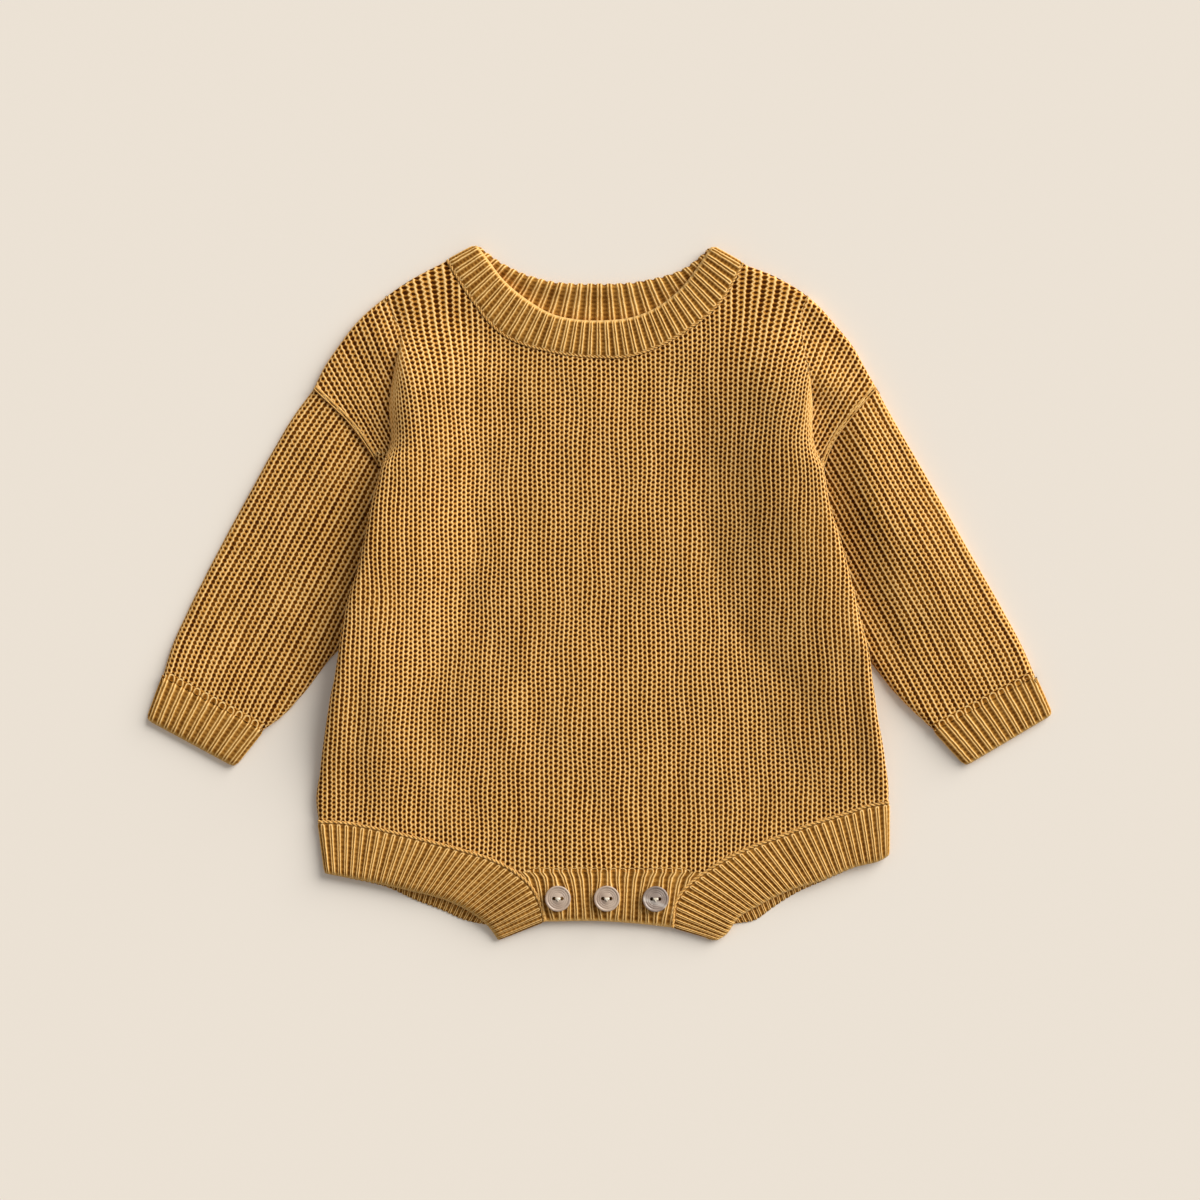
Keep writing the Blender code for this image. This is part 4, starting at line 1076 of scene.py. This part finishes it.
def band(name, material, upper, lower, heights, folds, ribs, back_ribs, courses, back_relief, crowd):
    """A ribbed band folded at its ends, from the (seam, edge) curves and heights of its two layers."""
    rim = courses + (RIM if folds == 1 else 0.25)
    shells = [
        panel(band_outline(*upper, folds, pi, pi), between(*upper, ribs, courses, crowd=crowd),
              heights[0], (-3, ribs + (3 if folds == 2 else 1)), (-1, courses + 2), RIB_STEPS,
              rib_relief, drawn=rimmed(rim), edge_relief=1.0),
        panel(band_outline(*lower, folds, pi / 2, 0.0), between(*lower, back_ribs, courses),
              heights[1], (-1, back_ribs + 1), (-1, courses + 2), RIB_STEPS, rib_relief,
              wall=HIDDEN_WALL, edge_relief=back_relief),
    ]
    return build(name, shells, material)


# -------- placket and buttons

def placket(material):
    seams = [dense(SIDES[side]["leg_seam"]) for side in SIDES]
    left, right = (seam[seam[:, 1] < PLACKET_TOP_Y] for seam in seams)
    top = [(seam[0][0], PLACKET_TOP_Y + 0.4) for seam in (left, right)]
    outline = Outline((dense(top), JOINT_RADIUS, 0.0), (right, SEAM_RADIUS, pi / 2),
                      (dense(PLACKET_BOTTOM)[::-1], EDGE_RADIUS, pi / 2),
                      (left[::-1], SEAM_RADIUS, pi / 2))
    courses, first = 10, 2

    def plan(u, v):
        """The front's wales go on as ribs, which draw together and bend round the buttons."""
        drop = np.clip((v - first) / courses, 0, 1)
        wide = body_plan(u, np.full_like(u, PLACKET_TOP_Y / COURSE))[0]
        shrink = 1 - (1 - PLACKET_PITCH / (WALE * (1 + WIDEN))) * np.sqrt(drop)
        x = PLACKET_MIDDLE + (wide - PLACKET_MIDDLE) * shrink
        y = PLACKET_TOP_Y + (v - first) * (y_at(PLACKET_BOTTOM, x) - PLACKET_TOP_Y) / courses
        for button_x, button_y in BUTTONS.values():
            off = x - button_x
            near = np.exp(-(off / BEND_WIDTH) ** 2 - ((y - button_y) / BEND_HEIGHT) ** 2)
            x = x + BEND * np.sign(off) * near * np.minimum(np.abs(off) / 2.5, 1)
        return x, y

    def height(x, y):
        """Level with the front's ribs, and sinking towards the free edge past the buttons."""
        return TOP_Z - 0.15 - 1.3 * ramp(-y, 160, 167)

    upper = panel(outline, plan, height, (-12, 14), (1, 14), RIB_STEPS, rib_relief, wall=SLEEVE_WALL,
                  drawn=rimmed(first + courses + RIM), edge_relief=1.0)
    return build("placket_cloth", [upper], material)


def placket_back(material):
    corners = [SIDES[side]["back_leg_seam"][-1] for side in ("l", "r")]
    bottom = [(x, y + 0.8) for x, y in PLACKET_BOTTOM]
    lines = (dense(corners), dense((corners[1], bottom[-1])),
             dense(bottom)[::-1], dense((bottom[0], corners[0])))
    outline = Outline(*((line, 0.4, 0.0) for line in lines))
    shell = panel(outline, between(corners, (bottom[0], bottom[-1]), PLACKET_RIBS, 10, 2.0),
                  level(WALL - 1.0), (-1, PLACKET_RIBS + 1), (1, 14), RIB_STEPS, rib_relief,
                  wall=HIDDEN_WALL)
    return build("placket_back_cloth", [shell], material)


def button(name, material):
    """A turned disc with a rounded rim round a shallow dish, and two holes."""
    radius, dish = BUTTON_DIAMETER / 2, BUTTON_DIAMETER / 2 - BUTTON_RIM
    low = BUTTON_THICKNESS - BUTTON_RIM_HEIGHT
    rim = radius - BUTTON_RIM / 2
    # From the middle of the dish out over its grooves and the rim, and back along the underside.
    bulge = [(rim + BUTTON_RIM / 2 * np.cos(a), low - 0.1 + 0.4 * np.sin(a))
             for a in np.linspace(radians(160), 0, 9)]
    rings = [(r + step, low - depth) for r in (*BUTTON_RINGS, dish - 0.3)
             for step, depth in ((-0.16, 0), (0, 0.1), (0.16, 0))]
    profile = [(0, low), *rings, *bulge, (radius - 0.1, 1.2), (radius - 0.9, 0), (0, 0)]
    mesh = bpy.data.meshes.new(name)
    mesh.from_pydata([(x / 1000, 0, z / 1000) for x, z in profile],
                     [(i, i + 1) for i in range(len(profile) - 1)], [])
    made = placed(name + "_turned", mesh)
    x, y = BUTTONS[name]
    turn = made.modifiers.new("turn", "SCREW")
    turn.steps = turn.render_steps = 64
    turn.use_merge_vertices = True
    turn.merge_threshold = 0.00001
    cutters = []
    for sign in (-1, 1):
        middle = (sign * BUTTON_HOLES_APART / 2000, 0, 0)
        bpy.ops.mesh.primitive_cylinder_add(
            vertices=24, radius=BUTTON_HOLE / 2000, depth=0.02, location=middle)
        cutters.append(bpy.context.object)
        made.modifiers.new("hole", "BOOLEAN").object = cutters[-1]
    bpy.context.view_layer.update()
    shaped = made.evaluated_get(bpy.context.evaluated_depsgraph_get())
    made.data = bpy.data.meshes.new_from_object(shaped)
    made.modifiers.clear()
    for cutter in cutters:
        bpy.data.objects.remove(cutter)
    made.data.transform(Matrix.Translation((x / 1000, y / 1000, BUTTON_Z / 1000)))
    made.data.materials.clear()
    made.data.materials.append(material)
    made.data.shade_smooth()
    made.data.set_sharp_from_angle(angle=radians(50))
    return made


def ways(line):
    """The way that a line runs at each of its points, and the way to its left."""
    along = np.gradient(line, axis=0)
    along /= np.linalg.norm(along, axis=1, keepdims=True)
    return along, np.column_stack([-along[:, 1], along[:, 0]])


def tube(points, radius, sides=6):
    """A round yarn along points, as a shell with closed ends."""
    points = np.array(points, float)
    along = ways(points)[0]
    side = np.cross(along, (0.0, 0.0, 1.0))
    side /= np.linalg.norm(side, axis=1, keepdims=True)
    top = np.cross(side, along)
    angles = (np.arange(sides) * 2 * pi / sides)[None, :, None]
    ring = points[:, None] + radius * (np.cos(angles) * side[:, None] + np.sin(angles) * top[:, None])
    last = (len(points) - 1) * sides
    faces = []
    for i in range(0, last, sides):
        for k in range(sides):
            n = (k + 1) % sides
            faces.append((i + n, i + k, i + sides + k, i + sides + n))
    faces += [tuple(range(sides)), tuple(range(last, last + sides))[::-1]]
    flat = ring.reshape(-1, 3)
    return flat, np.zeros((len(flat), 3)), faces, 2


def threads(name, material):
    """Sewing thread across a button's two holes, with a small nub below."""
    x, y = BUTTONS[name]
    top = BUTTON_Z + BUTTON_THICKNESS - BUTTON_RIM_HEIGHT
    reach = BUTTON_HOLES_APART / 2 - 0.75
    shells = []
    for offset in (-0.32, 0.0, 0.32):
        share = np.linspace(-1, 1, 13)
        rise = 0.6 * np.sqrt(np.maximum(1 - share**4, 0)) - 0.9 * np.abs(share) ** 8
        points = np.column_stack([x + reach * share, y + offset * (1 - 0.4 * share**2),
                                  top + rise - 0.1])
        shells.append(tube(points, 0.28))
    nub = [(x - 0.2, y - 0.3, top + 0.4), (x, y - 0.8, top + 0.45), (x + 0.1, y - 1.3, top + 0.25)]
    shells.append(tube(nub, 0.34))
    return build(name + "_thread", shells, material)


# -------- seams

ARMHOLE_CORDS = ((1.7, 0.6), (0.3, 0.35))  # distance in from the armhole, and radius, of its yarns


def beside(points, offset):
    """A curve along another, this far to the left of its way."""
    line = dense(points, 1.5)
    return line + offset * ways(line)[1]


def cord(line, height, radius):
    """A smooth yarn laid along a seam."""
    return tube(np.column_stack([line, height(line[:, 0], line[:, 1])]), radius, 8)


def twisted(points, height, radius=0.5, pitch=2.4, spread=0.4):
    """Two yarns twisted round each other along a seam: the row of its linking stitches."""
    line = dense(points, 0.3)
    run = np.concatenate([[0], np.cumsum(np.linalg.norm(np.diff(line, axis=0), axis=1))])
    across = ways(line)[1]
    base = height(line[:, 0], line[:, 1])
    shells = []
    for phase in (0.0, pi):
        angle = pi * run / pitch + phase
        plan = line + across * (spread * np.cos(angle))[:, None]
        shells.append(tube(np.column_stack([plan, base + spread * np.sin(angle)]), radius, 5))
    return shells


# -------- the romper

knit, rib = knit_material("mustard_body_knit", False), knit_material("mustard_rib_knit", True)
seam_yarn = yarn_material("seam_yarn", (0.46, 0.22, 0.045), (0.86, 0.53, 0.18))
cream = yarn_material("cream_thread", (0.62, 0.52, 0.38), (0.90, 0.84, 0.72))
taupe = button_material("taupe_button", (0.36, 0.255, 0.188), (0.52, 0.40, 0.305), 0.0)
grey = button_material("grey_button", (0.21, 0.155, 0.125), (0.37, 0.285, 0.235), 0.6)


def fit(piece, slot_name, *nodes):
    """Tells a piece's body and the solids that it replaces. Its slot name is not used."""
    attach(piece, "root")
    if nodes:
        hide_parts(*nodes)
    return piece


front_cloth = fit(front(knit), "body_knit", "front_panel")
back_cloth = fit(back(knit), "body_knit", "back_panel")

for side in ("l", "r"):
    made = fit(sleeve(side, knit), "body_knit", f"sleeve_{side}")
    made = fit(cuff(side, rib), "rib_knit", f"cuff_{side}")
    table = SIDES[side]
    strip = band(f"leg_band_{side}_cloth", rib, (table["leg_seam"], table["leg_edge"]),
                 (table["back_leg_seam"], table["back_leg_edge"]), (tip_height, level(WALL - 1.2)),
                 folds=1, ribs=35, back_ribs=34, courses=11, back_relief=0.5, crowd=0.08)
    made = fit(strip, "rib_knit", f"leg_band_{side}")

ring = band("neckband_cloth", rib, (NECK_SEAM, NECK_EDGE), (BACK_NECK_SEAM, BACK_NECK_EDGE),
            (level(TOP_Z + BAND_RISE), back_neck_height),
            folds=2, ribs=40, back_ribs=26, courses=9, back_relief=1.0, crowd=0.0)
made = fit(ring, "rib_knit", "neckband")
made = fit(placket(rib), "rib_knit", "placket_front")
made = fit(placket_back(rib), "rib_knit", "placket_back")

for name in BUTTONS:
    third = name == "button_3"
    fit(button(name, grey if third else taupe), "button_grey" if third else "button_taupe", name)
    fit(threads(name, cream), "button_grey" if third else "button_taupe")

seams = []
for side in ("l", "r"):
    table = SIDES[side]
    seams += twisted(table["leg_seam"], level(TOP_Z + 0.1))
    for offset, radius in ARMHOLE_CORDS:
        line = beside(table["armhole"], -table["toward"] * offset)
        seams.append(cord(line, yoke_height(side), radius))
seams += twisted(beside(NECK_SEAM, 0.5), level(TOP_Z + 0.35), 0.42, 2.0, 0.38)
fit(build("seam_stitches", seams, seam_yarn), "rib_knit")

# -------- floor, light and camera

PICTURE = 0.600  # width of the picture on the cloth, in metres
AIM = (0.0005, -0.00375)  # middle of the picture
CLOTH_TOP = 0.006  # height where the picture is that wide
LENS, SENSOR = 85.0, 36.0
KEY_HEIGHT, KEY_DIRECTION, KEY_SPREAD = 27.0, 40.0, 52.0  # degrees
KEY_POWER, FILL = 4.46, 0.395


def floor():
    mesh = bpy.data.meshes.new("floor")
    mesh.from_pydata([(-3, -3, 0), (3, -3, 0), (3, 3, 0), (-3, 3, 0)], [], [(0, 1, 2, 3)])
    made = placed("floor", mesh)
    shader = Shader("pale_floor", 0.9)
    shader.colour((0.80, 0.735, 0.655, 1))
    mesh.materials.append(shader.material)


def studio():
    """A broad key light from the upper right, which is even over the cloth, and a soft fill."""
    key = bpy.data.lights.new("key", "SUN")
    key.energy = KEY_POWER
    key.angle = radians(KEY_SPREAD)
    key.color = (1.0, 0.985, 0.955)
    placed("key", key).rotation_euler = (0, radians(90 - KEY_HEIGHT), radians(KEY_DIRECTION))
    world = bpy.data.worlds.new("soft_studio")
    world.use_nodes = True
    sky = world.node_tree.nodes["Background"]
    sky.inputs[0].default_value = (1.0, 0.99, 0.975, 1)
    sky.inputs[1].default_value = FILL
    bpy.context.scene.world = world
    bpy.context.scene.view_settings.view_transform = "Standard"


def camera():
    data = bpy.data.cameras.new("camera")
    data.lens, data.sensor_width = LENS, SENSOR
    made = placed("camera", data)
    made.location = (*AIM, CLOTH_TOP + PICTURE * LENS / SENSOR)
    bpy.context.scene.camera = made


floor()
studio()
camera()

bpy.context.view_layer.update()
